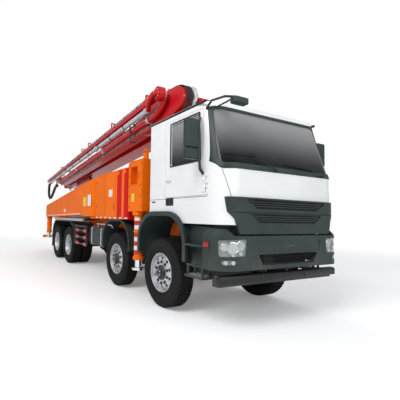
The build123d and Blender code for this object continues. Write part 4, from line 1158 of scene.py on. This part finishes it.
@dataclass
class BumperFittings(Fittings):
    """Lamp units, side markers, plate screws, intake mesh and the bar below the bumper."""

    front: float = 1450.0
    half: float = 1240.0
    corner: float = 330.0
    wire: float = 0.0022

    def face(self, y: float, z: float, out: float = 0.0) -> Vector:
        """Place on the bumper's face, or so many millimetres in front of it."""
        return spot(rounded_front(self.front, self.half, self.corner, y) + out, y, z)

    def outwards(self, y: float) -> Vector:
        """Direction away from the bumper's face."""
        lean = max(0.0, abs(y) - (self.half - self.corner)) / self.corner
        return Vector(((1 - lean * lean) ** 0.5, lean * (1 if y > 0 else -1), 0)).normalized()

    def build_lamps(self) -> None:
        """Bright bowls and bulbs behind the lenses, and the side markers."""
        for side in Side:
            sign, bowls, bulbs = side.value, Form(), Form()
            for y, z, radius in ((890, 1075, 0.072), (890, 985, 0.034), (1010, 1050, 0.078), (1105, 1060, 0.052),
                                 (1010, 962, 0.020), (1005, 872, 0.027), (1095, 872, 0.027)):
                out = self.outwards(sign * y)
                seat = self.face(sign * y, z) - out * 0.046
                bowls.lathe([(radius, 0.034), (radius * 0.9, 0.036), (radius * 0.7, 0.016), (radius * 0.35, 0.006),
                             (0.004, 0.004)], seat, out, 28)
                bulbs.lathe([(0.010, 0.0), (0.012, 0.014), (0.008, 0.026), (0.003, 0.029)], seat + out * 0.004,
                            out, 14)
            self.put(bowls, f"lamp_bowls_{side.word}", "chrome")
            self.put(bulbs, f"lamp_bulbs_{side.word}", "bulb_glass")
            marker = Form().plate(1195, sign * self.half, 1085, 0.052, 0.033, 0.010, 0.85)
            self.put(marker, f"side_marker_{side.word}", "red_lens", edge=0.003)

    def build_front(self) -> None:
        """Plate screws, panel joints and intake mesh."""
        self.put(Form().bolt(self.face(-90, 1065, -7.4), X, 0.0058), "plate_screws", "chrome", Row(4, Y * 0.060),
                 slot="bright_rod")
        joints = Form()
        for y in (-300, -662, 300, 662):
            low, high = self.face(y, 985, -7.5), self.face(y, 1150, -7.5)
            joints.prism([low, low + Y * 0.005, low + Vector((0.0016, 0.005, 0)), low + X * 0.0016], high - low)
        self.put(joints, "bumper_joints", "trim_black")
        self.put(Form().tube([spot(1400, -585, 832), spot(1400, -585, 958)], self.wire, 6), "intake_uprights",
                 "trim_black", Row(59, Y * 0.020))
        self.put(Form().tube([spot(1396, -590, 838), spot(1396, 590, 838)], self.wire, 6), "intake_levels",
                 "trim_black", Row(7, Z * 0.019))
        rib = Form().pad(spot(1420, -470, 830), Y * 0.008, X * 0.018, Z * 0.012, 0.7)
        self.put(rib, "intake_ribs", "dark_plastic", Row(32, Y * 0.030))

    def build_bar(self) -> None:
        """Under-run bar on two brackets."""
        bar = Form().prism([spot(x, -1150, z) for x, z in ((1290, 590), (1360, 596), (1368, 612), (1368, 682),
                                                           (1356, 700), (1290, 706))], Y * 2.3)
        for y in (-470, 410):
            bar.box((1180, 1300), (y, y + 60), (640, 690))
            bar.prism([spot(x, y, z) for x, z in ((1180, 640), (1240, 640), (1240, 800), (1180, 860))], Y * 0.060)
        self.put(bar, "under_run_bar", "trim_black", slot="black_steel", edge=0.005)
        bolts = Form()
        for y, z in ((-440, 625), (-440, 668), (440, 625), (440, 668)):
            bolts.bolt(spot(1368, y, z), X, 0.013)
        self.put(bolts, "under_run_bolts", "hub_iron")

    def build_steps(self) -> None:
        """Raised grip pads on the entry treads."""
        for side in Side:
            grip = Form().pad(spot(762, side.value * 1030, 652), X * 0.008, Y * 0.008, Z * 0.006, 0.6)
            self.put(grip, f"step_grips_{side.word}", "galvanised", Row(11, X * 0.032),
                     Row(6, Y * (side.value * 0.032)), slot="black_steel")

    def build(self) -> None:
        """Build every fitting of the bumper."""
        for build in (self.build_lamps, self.build_front, self.build_bar, self.build_steps):
            build()


@dataclass
class OutriggerFittings(Fittings):
    """Collars, tapes, plates, latches and screws of the outriggers and lockers."""

    jack: Point2 = (-800.0, 1122.0)
    tube: float = 0.088
    post_face: float = 1235.0
    arm_face: float = 1230.0
    locker_face: float = 1214.0

    def build_post(self, side: Side) -> None:
        """Front post: collars, tape, edge plates, screws, hoses and blank plate.

        Args:
            side: the side that it is on.
        """
        sign, word, face = side.value, side.word, side.value * self.post_face
        body = f"front_outrigger_{word}"
        axis = spot(self.jack[0], sign * self.jack[1], 0)
        collars = Form().collars(((1.440, 1.508, 0.128), (1.405, 1.440, 0.104), (1.130, 1.175, 0.100),
                                  (0.648, 0.690, 0.108)), axis, 40)
        self.put(collars, f"tube_collars_{word}", "orange_paint", body=body)
        flange = Vector((axis.x, axis.y, 1.440))
        self.put(Form().bolt(flange + X * 0.113, -Z, 0.009), f"flange_screws_{word}", "hub_iron",
                 Ring(10, flange, (0.0, 0.0, 1.0)), body=body)
        tapes = {"white_tape": Form(), "red_tape": Form()}
        for number in range(8):
            low = 0.74 + 0.078 * number + (0.0 if number < 5 else 0.060)
            form = tapes["white_tape" if number % 2 else "red_tape"]
            form.band(axis, low, low + 0.070, self.tube, 70.0 * sign, 46.0)
        for look, form in tapes.items():
            self.put(form, f"{look}_{word}", look, body=body)
        trims = Form()
        for x, z, half_x, half_z in (
                (-1036, 1975, 0.012, 0.455), (-530, 1975, 0.012, 0.455), (-800, 2428, 0.24, 0.012),
                (-800, 1522, 0.24, 0.012), (-690, 2165, 0.010, 0.175), (-960, 2165, 0.010, 0.175),
                (-825, 2338, 0.145, 0.010), (-825, 1992, 0.145, 0.010)):
            trims.plate(x, face, z, half_x, half_z, 0.006)
        self.put(trims, f"post_ribs_{word}", "orange_paint", body=body, edge=0.002)
        self.put(Form().plate(-860, face, 1760, 0.055, 0.075, 0.003, 0.97), f"post_plate_{word}", "yellow_plate",
                 body=body, edge=0.001)
        self.put(Form().bolt(spot(-1010, face, 1600), Y * sign, 0.010), f"post_screws_{word}", "hub_iron",
                 Row(2, X * 0.450), Row(5, Z * 0.190), body=body, slot="orange_paint")
        hoses = Form()
        for shift in (0.0, 0.035):
            hoses.tube(smooth_path([spot(x, sign * y, z) + X * shift for x, y, z in (
                (-700, 1180, 1985), (-690, 1222, 2060), (-700, 1228, 2200), (-735, 1200, 2300))]), 0.011, 10)
        self.put(hoses, f"post_hoses_{word}", "hose_rubber", body=body)

    def build_rear_arm(self, side: Side) -> None:
        """Rear arm: edge tape, blank plates, ribs, tube collars and pin cap.

        Args:
            side: the side that it is on.
        """
        sign, word, face = side.value, side.word, side.value * self.arm_face
        body = f"rear_arm_{word}"
        out = Y * sign
        slope = Vector((-4.2, 0, -0.075)).normalized()
        tape = Form().pad(spot(-4050, face, 1458), slope * 0.040, Z * 0.018, out * 0.0015, 0.98)
        self.put(tape, f"arm_tape_{word}", "white_tape", Row(38, slope * 0.108), body=body)
        for name, look, x, z, half_x, half_z in (("first", "yellow_plate", -3630, 1775, 0.125, 0.120),
                                                 ("second", "white_plate", -3270, 1800, 0.120, 0.140),
                                                 ("third", "white_plate", -5560, 1560, 0.090, 0.050)):
            plate = Form().plate(x, face, z, half_x, half_z, 0.002, 0.99)
            self.put(plate, f"arm_plate_{name}_{word}", look, body=body)
        ribs = Form()
        for x0, z0, x1, z1 in ((-3500, 2263, -8240, 1760), (-3760, 1412, -3900, 1437), (-3900, 1437, -8100, 1362)):
            start, end = spot(x0, face, z0), spot(x1, face, z1)
            along = (end - start) / 2
            ribs.pad(start + along, along, along.cross(out).normalized() * 0.012, out * 0.006, 0.985)
        self.put(ribs, f"arm_edges_{word}", "orange_paint", body=body)
        collars = Form().collars(((1.290, 1.345, 0.118), (1.050, 1.085, 0.099), (0.745, 0.790, 0.104)),
                                 spot(-8130, sign * 1115, 0), 36)
        self.put(collars, f"rear_collars_{word}", "orange_paint", body=body)
        pin = Form().lathe([(0.085, 0.0), (0.085, 0.012), (0.078, 0.016)], spot(-3250, sign * 1040, 2275), Z, 36)
        self.put(pin, f"arm_pin_cap_{word}", "hub_iron", body=body)

    def build_locker(self, side: Side) -> None:
        """Locker: latches, hinges, tape, blank plate and rain rail.

        Args:
            side: the side that it is on.
        """
        sign, word, face = side.value, side.word, side.value * self.locker_face
        out = Y * sign
        latches = Form()
        for x, z in ((-1760, 1640), (-1760, 1580), (-2790, 2180), (-2790, 1640)):
            latches.lathe([(0.020, 0.0), (0.020, 0.006), (0.012, 0.009)], spot(x, face, z), out, 20)
            latches.pad(spot(x, face, z) + out * 0.004, X * 0.004, Z * 0.014, out * 0.006)
        self.put(latches, f"locker_latches_{word}", "trim_black")
        hinges = Form()
        for x in (-2700, -2420, -2150, -1850, -1580, -1250):
            hinges.tube([spot(x - 45, face, 2322), spot(x + 45, face, 2322)], 0.009, 12)
            hinges.plate(x, face, 2290, 0.040, 0.026, 0.005, 0.92)
        self.put(hinges, f"locker_hinges_{word}", "orange_paint")
        self.put(Form().plate(-2775, sign * 1204, 1382, 0.062, 0.015, 0.0016, 0.98), f"locker_tape_{word}",
                 "white_tape", Row(7, X * 0.262))
        self.put(Form().plate(-1960, face, 1905, 0.100, 0.075, 0.002, 0.99), f"locker_plate_{word}", "white_plate")
        rail = Form().tube([spot(-2850, sign * 1180, 2362), spot(-1100, sign * 1180, 2362)], 0.012, 10)
        self.put(rail, f"locker_rain_rail_{word}", "orange_paint")

    def build(self) -> None:
        """Build both sides."""
        for side in Side:
            for build in (self.build_post, self.build_rear_arm, self.build_locker):
                build(side)


@dataclass
class ChassisFittings(Fittings):
    """Reflectors, side rails, tank straps, air bottles, lines and bolts along the chassis."""

    guard_face: float = 1225.0

    def build_side(self, side: Side) -> None:
        """Red plates on the guard rails, and the pale rail above the rear wheels with its ribs and brackets.

        Args:
            side: the side that they are on.
        """
        sign, word, face = side.value, side.word, side.value * self.guard_face
        for name, x in (("rear", -4187), ("front", -3560)):
            self.put(Form().plate(x, face, 680, 0.125, 0.040, 0.003, 0.98), f"guard_reflectors_{name}_{word}",
                     "red_tape", Row(3, Z * 0.172), slot="lamp_lens", edge=0.001)
        rail = Form().prism([spot(-6900, sign * y, z) for y, z in ((1150, 1265), (1222, 1265), (1226, 1322),
                                                                   (1216, 1330), (1150, 1330))], X * 3.05)
        self.put(rail, f"side_rail_{word}", "galvanised", edge=0.004)
        self.put(Form().plate(-6860, face, 1297, 0.004, 0.026, 0.004, 0.8), f"side_rail_ribs_{word}", "galvanised",
                 Row(24, X * 0.130))
        self.put(Form().box((-6820, -6760), (sign * 700, sign * 1160), (1290, 1325)), f"rail_brackets_{word}",
                 "black_steel", Row(4, X * 0.950))

    def build_tank(self, side: Side) -> None:
        """Tank straps, filler cap and grab rail.

        Args:
            side: the side that they are on.
        """
        sign, word = side.value, side.word
        rings = []
        for y, z in ((640, 1156), (1090, 1156), (1140, 1136), (1156, 1086), (1156, 764), (1140, 714), (1090, 694),
                     (640, 694)):
            inner = z + (-5 if z > 925 else 5)
            rings.append([spot(x, sign * across, up) for x, across, up in (
                (-3260, y, z), (-3200, y, z), (-3200, y - 5, inner), (-3260, y - 5, inner))])
        self.put(Form().skin(rings), f"tank_straps_{word}", "galvanised", Row(2, X * 0.620), slot="bright_rod")
        cap = Form().lathe([(0.055, 0.0), (0.055, 0.030), (0.048, 0.036)], spot(-2900, sign * 900, 1150), Z, 30)
        cap.pad(spot(-2900, sign * 900, 1184), X * 0.045, Y * 0.008, Z * 0.014)
        self.put(cap, f"tank_cap_{word}", "trim_black")
        path = [spot(x, sign * y, z) for x, y, z in ((-2955, 1080, 1150), (-2940, 1120, 1215), (-2800, 1160, 1225),
                                                     (-2250, 1160, 1225), (-2110, 1120, 1215), (-2100, 1080, 1160))]
        self.put(Form().tube(smooth_path(path, 6), 0.014, 12), f"tank_rail_{word}", "galvanised")

    def build_frame(self) -> None:
        """Air bottles across the frame, lines along it and its bolts."""
        bottles, lines = Form(), Form()
        for x in (-2350, -3650):
            for y in (-300, 60):
                bottles.lathe([(0.02, -0.0), (0.09, 0.012), (0.125, 0.045), (0.125, 0.255), (0.09, 0.288),
                               (0.02, 0.30)], spot(x, y, 905), Y, 32)
        self.put(bottles, "air_bottles", "black_steel")
        for z in range(850, 986, 34):
            for y in (-436, 436):
                lines.tube([spot(x, y, z) for x in (-300, -4200, -8400)], 0.008, 8)
        self.put(lines, "frame_lines", "hose_rubber")
        self.put(Form().bolt(spot(-500, 426, 1040), Y, 0.013).mirrored(), "frame_bolts", "hub_iron",
                 Row(26, X * -0.300))

    def build(self) -> None:
        """Build both sides and the frame."""
        for side in Side:
            self.build_side(side)
            self.build_tank(side)
        self.build_frame()


@dataclass(frozen=True)
class BoomPipe:
    """Straight delivery pipe of one section, in millimetres on the folded boom."""

    section: int
    across: float
    above: float
    first: float
    last: float
    radius: float = 65.0


# name, section and finish of each bend, and along, above and across of the places it passes
BENDS = (
    ("bend_front_lower", 4, "red_paint", 0.062,
     ((950, -20, -592), (700, -10, -594), (490, 70, -596), (380, 190, -597), (352, 252, -600))),
    ("bend_front_upper", 5, "red_paint", 0.054,
     ((352, 256, -792), (358, 252, -838), (430, 232, -852), (580, 176, -836), (710, 126, -776), (800, 105, -730))),
    ("bend_front_cross", 2, "pale_pipe", 0.062,
     ((1100, 20, 492), (860, 24, 496), (740, 110, 504), (704, 250, 506), (700, 330, 486), (700, 345, 424))),
    ("bend_front_third", 3, "pale_pipe", 0.062,
     ((700, 345, -122), (712, 346, -170), (780, 345, -198), (900, 341, -200), (1200, 335, -195))),
    ("head_elbow", 4, "pale_pipe", 0.045,
     ((420, 300, -288), (300, 330, -250), (140, 345, -222), (-20, 300, -212), (-96, 190, -214), (-100, 60, -232),
      (-40, -40, -288))),
    ("bend_rear_lower", 1, "pale_pipe", 0.062,
     ((8700, 0, -225), (8850, 0, -226), (9050, 30, -232), (9190, 60, -228), (9260, 40, -224))),
    ("bend_rear_upper", 4, "pale_pipe", 0.062,
     ((8500, -20, -592), (8640, 0, -594), (8780, 130, -602), (8860, 260, -598), (8890, 300, -590))),
    ("bend_root", 1, "pale_pipe", 0.062,
     ((900, 0, -225), (700, 0, -226), (420, 4, -228), (180, 2, -226), (30, 0, -224))),
)
# place along and above of each elbow's pin, with the body, face and side of its two cover plates
PIN_CAPS = {2: ((9280.0, 0.0), (1, -150, -1), (2, 420, 1)), 3: ((700.0, 345.0), (3, -120, -1), (2, 420, 1)),
            4: ((8900.0, 300.0), (3, 120, 1), (4, -520, -1)), 5: ((350.0, 255.0), (4, -300, 1), (5, -790, -1))}


@dataclass
class BoomFittings(Fittings):
    """Pipe sleeve, couplings, clamps, posts, pin caps, lines and hoses of the folded boom."""

    pipes: tuple[BoomPipe, ...] = (
        BoomPipe(1, -225.0, 0.0, 900.0, 8700.0), BoomPipe(2, 492.0, 20.0, 1100.0, 8900.0),
        BoomPipe(3, -195.0, 335.0, 1200.0, 8300.0), BoomPipe(4, -592.0, -20.0, 950.0, 8500.0),
        BoomPipe(5, -730.0, 105.0, 800.0, 9500.0, 53.0))
    outer_face: float = -520.0

    def put_on(self, section: int, form: Form, name: str, look: str, *repeats: Row | Ring, **more: Any) -> None:
        """Finish a form as a piece of one boom section."""
        self.put(form, name, look, *repeats, body=f"boom_section_{section}", **more)

    def build_couplings(self) -> None:
        """Clamp couplings on every pipe, and the last pipe's pale sleeve."""
        for pipe in self.pipes:
            rings, bolts, wall = Form(), Form(), pipe.radius / 1000
            profile = both_ways([(wall + 0.001, 0.036), (wall + 0.017, 0.030), (wall + 0.021, 0.0)])
            for share in (0.0, 0.34, 0.67, 1.0):
                centre = on_boom(pipe.first + 60 + (pipe.last - pipe.first - 120) * share, pipe.above, pipe.across)
                rings.lathe(profile, centre, ALONG, 28)
                for turn in (-1, 1):
                    ear = centre + ABOVE * (turn * (wall + 0.020))
                    bolts.pad(ear, ALONG * 0.016, Y * 0.012, ABOVE * (turn * 0.022))
                    bolts.bolt(ear - Y * 0.016, -Y, 0.009)
            self.put_on(pipe.section, rings, f"pipe_couplings_{pipe.section}", "galvanised", edge=0.003)
            self.put_on(pipe.section, bolts, f"coupling_ears_{pipe.section}", "hub_iron", slot="grey_steel")
        last = self.pipes[-1]
        sleeve = Form().tube([on_boom(along, last.above, last.across) for along in (last.first - 2, last.last + 2)],
                             0.0545, 40)
        self.put_on(5, sleeve, "last_pipe_sleeve", "pale_pipe")

    def build_posts(self) -> None:
        """Red rest posts on the last section's top, clips on its pipe, and the fourth pipe's cradle."""
        posts, clips = Form(), Form()
        for along, top in {800: 420, 2590: 440, 4365: 445, 5000: 430, 7590: 405}.items():
            surface = 325 - 40 * (along - 800) / 8900
            for across in (-768, -692):
                foot = on_boom(along, surface - 4, across)
                posts.prism([foot + ALONG * (a * 0.028) + Y * (b * 0.009) for a, b in SQUARE],
                            ABOVE * ((top - surface + 4) / 1000))
            posts.pad(on_boom(along, top - 12, -730), ALONG * 0.030, Y * 0.052, ABOVE * 0.012, 0.9)
        self.put_on(5, posts, "rest_posts", "red_paint", edge=0.003)
        for along in range(1900, 9300, 820):
            centre = on_boom(along, 105, -730)
            clips.lathe([(0.0550, -0.020), (0.0605, -0.020), (0.0605, 0.020), (0.0550, 0.020)], centre, ALONG, 28)
            clips.bolt(centre - Y * 0.061, -Y, 0.010)
        self.put_on(5, clips, "last_pipe_clips", "hub_iron", slot="red_paint")
        rings = []
        for above, across in ((-280, -530), (-286, -600), (-286, -660), (160, -664), (168, -600), (160, -528)):
            inner = above + (8 if above < 0 else -8)
            rings.append([on_boom(along, up, across) for along, up in (
                (1722, above), (1798, above), (1798, inner), (1722, inner))])
        self.put_on(4, Form().skin(rings), "pipe_cradle", "black_steel")

    def build_caps(self) -> None:
        """Cover plates with their screws on the elbows' pins."""
        for number, (pin, *faces) in PIN_CAPS.items():
            for section, across, sign in faces:
                seat, out = on_boom(*pin, across + sign * 0.5), Y * sign
                tail = f"{number}_{'outer' if sign < 0 else 'inner'}"
                cap = Form().lathe([(0.112, 0.0), (0.112, 0.010), (0.106, 0.014), (0.062, 0.014), (0.058, 0.026),
                                    (0.020, 0.027)], seat, out, 40)
                self.put_on(section, cap, f"pin_cap_{tail}", "red_paint")
                screw = Form().bolt(seat + out * 0.013 + Z * 0.086, out, 0.010)
                self.put_on(section, screw, f"pin_cap_screws_{tail}", "galvanised", Ring(8, seat), slot="black_steel")
        root = Form().lathe([(0.118, 0.0), (0.118, 0.010), (0.070, 0.012), (0.064, 0.024), (0.020, 0.025)],
                            on_boom(0, 0, -150), -Y, 40)
        self.put_on(1, root, "root_pin_cap", "red_paint")

    def run(self, name: str, body: str, look: str, radius: float, points: Sequence[Point], steps: int = 8,
            sides: int = 20) -> None:
        """One bent pipe or hose through boom places.

        Args:
            name: the piece's name.
            body: the body that carries it.
            look: its finish.
            radius: its radius in metres.
            points: along, above and across of the places it passes.
            steps: pieces between two places.
            sides: facets round it.
        """
        path = smooth_path([on_boom(*point) for point in points], steps)
        self.put(Form().tube(path, radius, sides), name, look, body=body)

    def build_pipe_bends(self) -> None:
        """Bends that carry the concrete round the elbows."""
        for name, section, look, radius, points in BENDS:
            self.run(name, f"boom_section_{section}", look, radius, points)
        profile = both_ways([(0.064, 0.030), (0.078, 0.026), (0.082, 0.0)])
        swivel = Form().lathe(profile, on_boom(352, 256, -634), Y, 32)
        self.put_on(4, swivel, "front_swivel", "galvanised")

    def build_lines(self) -> None:
        """Hydraulic lines on the sections with their clips."""
        for section, across, levels, first, last, fall in (
                (1, -156, (-70, -45, 60, 85), 1000, 8400, 0.0), (4, -526, (-95, -118, -72), 1000, 8400, 0.0),
                (2, 154, (-60, -36), 1000, 8400, 0.0), (5, -796, (300, 276), 900, 9500, -0.0045)):
            lines = Form()
            for above in levels:
                lines.tube([on_boom(first, above, across), on_boom(4500, above + fall * 3600, across),
                            on_boom(last, above + fall * 8600, across)], 0.007, 8)
            self.put_on(section, lines, f"section_lines_{section}", "galvanised", slot="bright_rod")
            low, high = levels[0], levels[-1]
            clip = Form().pad(on_boom(1150, (low + high) / 2, across), ALONG * 0.012,
                              ABOVE * (abs(low - high) / 2000 + 0.018), Y * -0.012, 0.85)
            self.put_on(section, clip, f"line_clips_{section}", "trim_black",
                        Row(12, ALONG * 0.600 + ABOVE * (0.600 * fall)))

    def build_hoses(self) -> None:
        """Hose loops at the elbows and at the root."""
        for number in range(4):
            across = -330 - 42 * number
            self.run(f"front_loop_{number}", "boom_section_4", "hose_rubber", 0.013,
                     [(along, above, across) for along, above in ((760, 408), (420, 404), (150, 384), (-88, 276),
                                                                  (-152, 62), (-40, -150), (160, -190))], 7, 10)
        for number in range(5):
            gap = 30 * number
            self.run(f"root_loop_{number}", "turret", "hose_rubber", 0.015,
                     ((900 + gap, -1250, -205 - gap / 2), (560, -1000 + gap, -260 - gap / 2),
                      (250, -640 + gap, -300 - gap / 3), (-10, -330 + gap, -260 - gap / 3),
                      (60, -120, -230 - gap / 4), (140, -60 + gap / 2, -205)), 7, 10)
        for number in range(3):
            gap = 30 * number
            self.run(f"rear_loop_{number}", "boom_section_1", "hose_rubber", 0.013,
                     ((8500, 40 - gap, -170), (8900, 60 - gap, -190 - gap / 3), (9300, 70 - gap, -200 - gap / 2),
                      (9420 + gap, 20, -60), (9400 + gap, 0, 100), (9250, -10 + gap, 150)), 7, 10)

    def build_head(self) -> None:
        """Rounded shell over the fourth section's front head."""
        outline = ((1500, -176), (900, -176), (400, -164), (40, -112), (-122, 50), (-66, 258), (180, 362), (640, 388),
                   (1000, 362), (1330, 306), (1600, 214), (1650, 0))
        ring = [Vector((along, above, 0)) for along, above in outline]
        line = smooth_path([*ring[-2:], *ring, *ring[:3]], 6)[12:12 + 6 * len(ring)]
        shell = Form().prism([on_boom(point.x, point.y, self.outer_face - 3.5) for point in line], Y * 0.227)
        self.put_on(4, shell, "head_shell", "red_paint", edge=0.010)

    def build_details(self) -> None:
        """Weld seams on the boxes and rests on the fourth section."""
        seams, weld, rests = Form(), Form(), Form()
        for across in (self.outer_face - 2, -298):
            seams.tube([on_boom(along, above, across) for along, above in ((1800, 148), (5000, 102), (8200, 56))],
                       0.004, 6)
        self.put_on(4, seams, "weld_seams_4", "red_paint")
        for above in (192, -203):
            line = [on_boom(along, above + rise, -152) for along, rise in ((480, 0), (1400, 0), (2350, 2))]
            weld.tube(line, 0.004, 6)
        self.put_on(1, weld, "weld_seams_1", "red_paint")
        for along in (1300, 4700):
            rests.prism([on_boom(along + a, above, self.outer_face - 6)
                         for a, above in ((0, 60), (40, 60), (40, 160), (0, 160))], Y * -0.014)
        self.put_on(4, rests, "pack_rests", "red_paint", edge=0.003)

    def build(self) -> None:
        """Build every fitting of the boom."""
        for build in (self.build_couplings, self.build_posts, self.build_caps, self.build_pipe_bends,
                      self.build_lines, self.build_hoses, self.build_head, self.build_details):
            build()


@dataclass
class RearFittings(Fittings):
    """Rear lamps, mudflaps, hopper edge, pump screws and the delivery line."""

    lamp_face: float = -9376.0
    pump_height: float = 1400.0

    def build_lamps(self) -> None:
        """Lamp clusters on the rear bar."""
        for side in Side:
            case = Form().box((self.lamp_face, -9350), (side.value * 720, side.value * 1090), (488, 582))
            self.put(case, f"rear_lamp_case_{side.word}", "trim_black", edge=0.008)
            for name, look, y in (("stop", "red_lens", 1030), ("turn", "amber_lens", 915),
                                  ("reverse", "bulb_glass", 800)):
                lens = Form().lathe([(0.040, 0.0), (0.038, 0.010), (0.026, 0.014), (0.008, 0.015)],
                                    spot(self.lamp_face, side.value * y, 535), -X, 28)
                self.put(lens, f"rear_lamp_{name}_{side.word}", look)

    def build_flaps(self) -> None:
        """Rubber flaps behind the rear wheels."""
        for side in Side:
            sign = side.value
            self.put(Form().box((-7140, -7128), (sign * 612, sign * 1222), (330, 705)), f"mudflap_{side.word}",
                     "hose_rubber", edge=0.002)
            self.put(Form().box((-7127, -7122), (sign * 640, sign * 648), (350, 690)), f"mudflap_ribs_{side.word}",
                     "hose_rubber", Row(12, Y * (sign * 0.049)))

    def build_hopper(self) -> None:
        """Rubber bead on the hopper's rim and stiffening ribs on its walls."""
        corners = [spot(x, y, 1452) for x, y in ((-9508, -746), (-8542, -746), (-8542, 746), (-9508, 746))]
        self.put(Form().loop(corners), "hopper_bead", "hose_rubber")
        ribs, out = Form(), Vector((-0.94, 0, -0.34))
        for y in (-420, -140, 140, 420):
            ribs.skin([[end - Y * 0.012, end + Y * 0.012, end + Y * 0.012 + out * 0.03, end - Y * 0.012 + out * 0.03]
                       for end in (spot(-9484, y, 1420), spot(-9212, y * 0.45, 690))])
        self.put(ribs, "hopper_ribs", "orange_paint", slot="grey_steel")

    def build_pump(self) -> None:
        """Tie rods, flange screws and lines of the pump, and the delivery line to the turret."""
        rods, rings = Form(), Form()
        for y in (-170, 170):
            for dy, dz in ((-135, 95), (135, 95), (-135, -95), (135, -95)):
                rods.tube([spot(x, y + dy, self.pump_height + dz) for x in (-8530, -6470)], 0.014, 10)
        self.put(rods, "pump_tie_rods", "galvanised", slot="bright_rod")
        self.put(Form().bolt(spot(-4962, -170, self.pump_height + 88), X), "pump_flange_screws", "hub_iron",
                 Ring(8, spot(-4962, -170, self.pump_height), (1.0, 0.0, 0.0)), Row(2, Y * 0.340))
        path = [spot(*place) for place in (
            (-8500, 640, 1260), (-8300, 700, 1360), (-7900, 760, 1470), (-5200, 760, 1475), (-2700, 760, 1475),
            (-2350, 690, 1500), (-2050, 420, 1640), (-1870, 260, 1700), (-1795, 250, 1702))]
        self.put(Form().tube(smooth_path(path), 0.065, 24), "delivery_line", "pale_pipe")
        for x in (-7600, -6000, -4500, -2900):
            rings.lathe(both_ways([(0.066, 0.034), (0.084, 0.028), (0.088, 0.0)]), spot(x, 760, 1474), X, 28)
        self.put(rings, "delivery_couplings", "galvanised")

    def build(self) -> None:
        """Build every fitting of the rear end."""
        for build in (self.build_lamps, self.build_flaps, self.build_hopper, self.build_pump):
            build()


# ---------------------------------------------------------------- the truck's finishes
ORANGE = (0.84, 0.150, 0.0)
FINISHES = {
    "white_paint": GlossPaint("white_cab_paint", (0.80, 0.81, 0.81), 0.30, 0.4),
    "orange_paint": GlossPaint("orange_paint", ORANGE, 0.5, 0.06, specular=0.12),
    "red_paint": GlossPaint("red_boom_paint", (0.52, 0.006, 0.010), 0.3, 0.3, Dirt.CLEAN, 0.25),
    "black_steel": SatinMetal("chassis_paint", (0.013, 0.015, 0.015), 0.48, 0.0, Dirt.LIGHT),
    "dark_plastic": GrainedPlastic("dark_moulded_plastic", (0.019, 0.031, 0.028), 0.42),
    "trim_plastic": GrainedPlastic("cab_trim", (0.05, 0.05, 0.055), 0.6, 500.0, Dirt.CLEAN),
    "grey_steel": SatinMetal("grey_pump_paint", (0.22, 0.23, 0.24), 0.42, 0.0, Dirt.LIGHT),
    "cast_metal": SatinMetal("cast_iron", (0.07, 0.07, 0.073), 0.6, 0.6, Dirt.ROAD, 0.002),
    # glass with painted light, painted paler towards its top
    "tinted_glass": TintedGlass("tinted_glass"),
    "lamp_lens": ClearLens("lamp_lens", clear=0.85),
    "bright_rod": BrightMetal("hard_chrome", (0.78, 0.79, 0.81)),
    "hose_rubber": GrainedPlastic("hose_rubber", (0.02, 0.02, 0.021), 0.6, 200.0, Dirt.CLEAN),
    "tyre_rubber": GrainedPlastic("tyre_rubber", (0.010, 0.010, 0.0105), 0.7, 150.0, Dirt.CLEAN, 0.12),
    "wheel_silver": SatinMetal("wheel_silver", (0.44, 0.45, 0.46), 0.34, 0.55, Dirt.LIGHT, 0.0003),
    "hub_iron": SatinMetal("dark_fastener", (0.035, 0.036, 0.038), 0.42, 0.4, Dirt.LIGHT, 0.0005),
    "trim_black": GrainedPlastic("black_trim", (0.012, 0.013, 0.014), 0.4, 420.0, Dirt.CLEAN),
    "galvanised": SatinMetal("galvanised_steel", (0.42, 0.43, 0.44), 0.40, 0.5, Dirt.LIGHT, 0.0004),
    "chrome": BrightMetal("lamp_chrome", (0.56, 0.58, 0.58), 0.10),
    "bulb_glass": ClearLens("bulb_glass", (0.30, 0.31, 0.30), 0.3),
    "red_lens": ClearLens("red_lens", (0.42, 0.012, 0.006), 0.2),
    "amber_lens": ClearLens("amber_lens", (0.80, 0.28, 0.01), 0.25),
    "mirror_glass": BrightMetal("mirror_glass", (0.62, 0.66, 0.68), 0.02),
    "white_tape": ReflectiveTape("white_tape", (0.74, 0.75, 0.75)),
    "red_tape": ReflectiveTape("red_tape", (0.48, 0.006, 0.008)),
    "yellow_plate": GlossPaint("yellow_plate", (0.72, 0.56, 0.03), 0.4, 0.2),
    "white_plate": GlossPaint("white_plate", (0.72, 0.73, 0.72), 0.4, 0.2),
    "pale_pipe": SatinMetal("pale_pipe_paint", (0.40, 0.43, 0.45), 0.36, 0.1, Dirt.CLEAN, 0.0004),
    "striped_paint": StripedPaint("striped_locker_paint", ORANGE, (0.55, 0.004, 0.006), ((2.83, 3.05), (3.16, 3.40))),
}
NODE_FINISHES = {"side_boxes": "striped_paint"}


def dress_nodes(frame: dict[str, Any], made: Finishes) -> None:
    """Give every CAD node the finish of its material slot.

    Args:
        made: materials by slot.
    """
    for part in frame["record"]["subparts"]:
        materials = frame["nodes"][part["node"]].data.materials
        materials.clear()
        materials.append(made[NODE_FINISHES.get(part["node"], part["material_slot"])])


def main() -> None:
    """Build the studio and every sub-assembly on the loaded frame."""
    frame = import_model()
    Studio().build()
    LOG.info("studio ready")
    made = {slot: finish.make() for slot, finish in FINISHES.items()}
    dress_nodes(frame, made)
    LOG.info("finishes on %d nodes", len(frame["nodes"]))
    for assembly in (EndHose, RoadWheels, CabFittings, BumperFittings, OutriggerFittings, ChassisFittings,
                     BoomFittings, RearFittings):
        assembly(made).build()


if __name__ == "__main__":
    main()
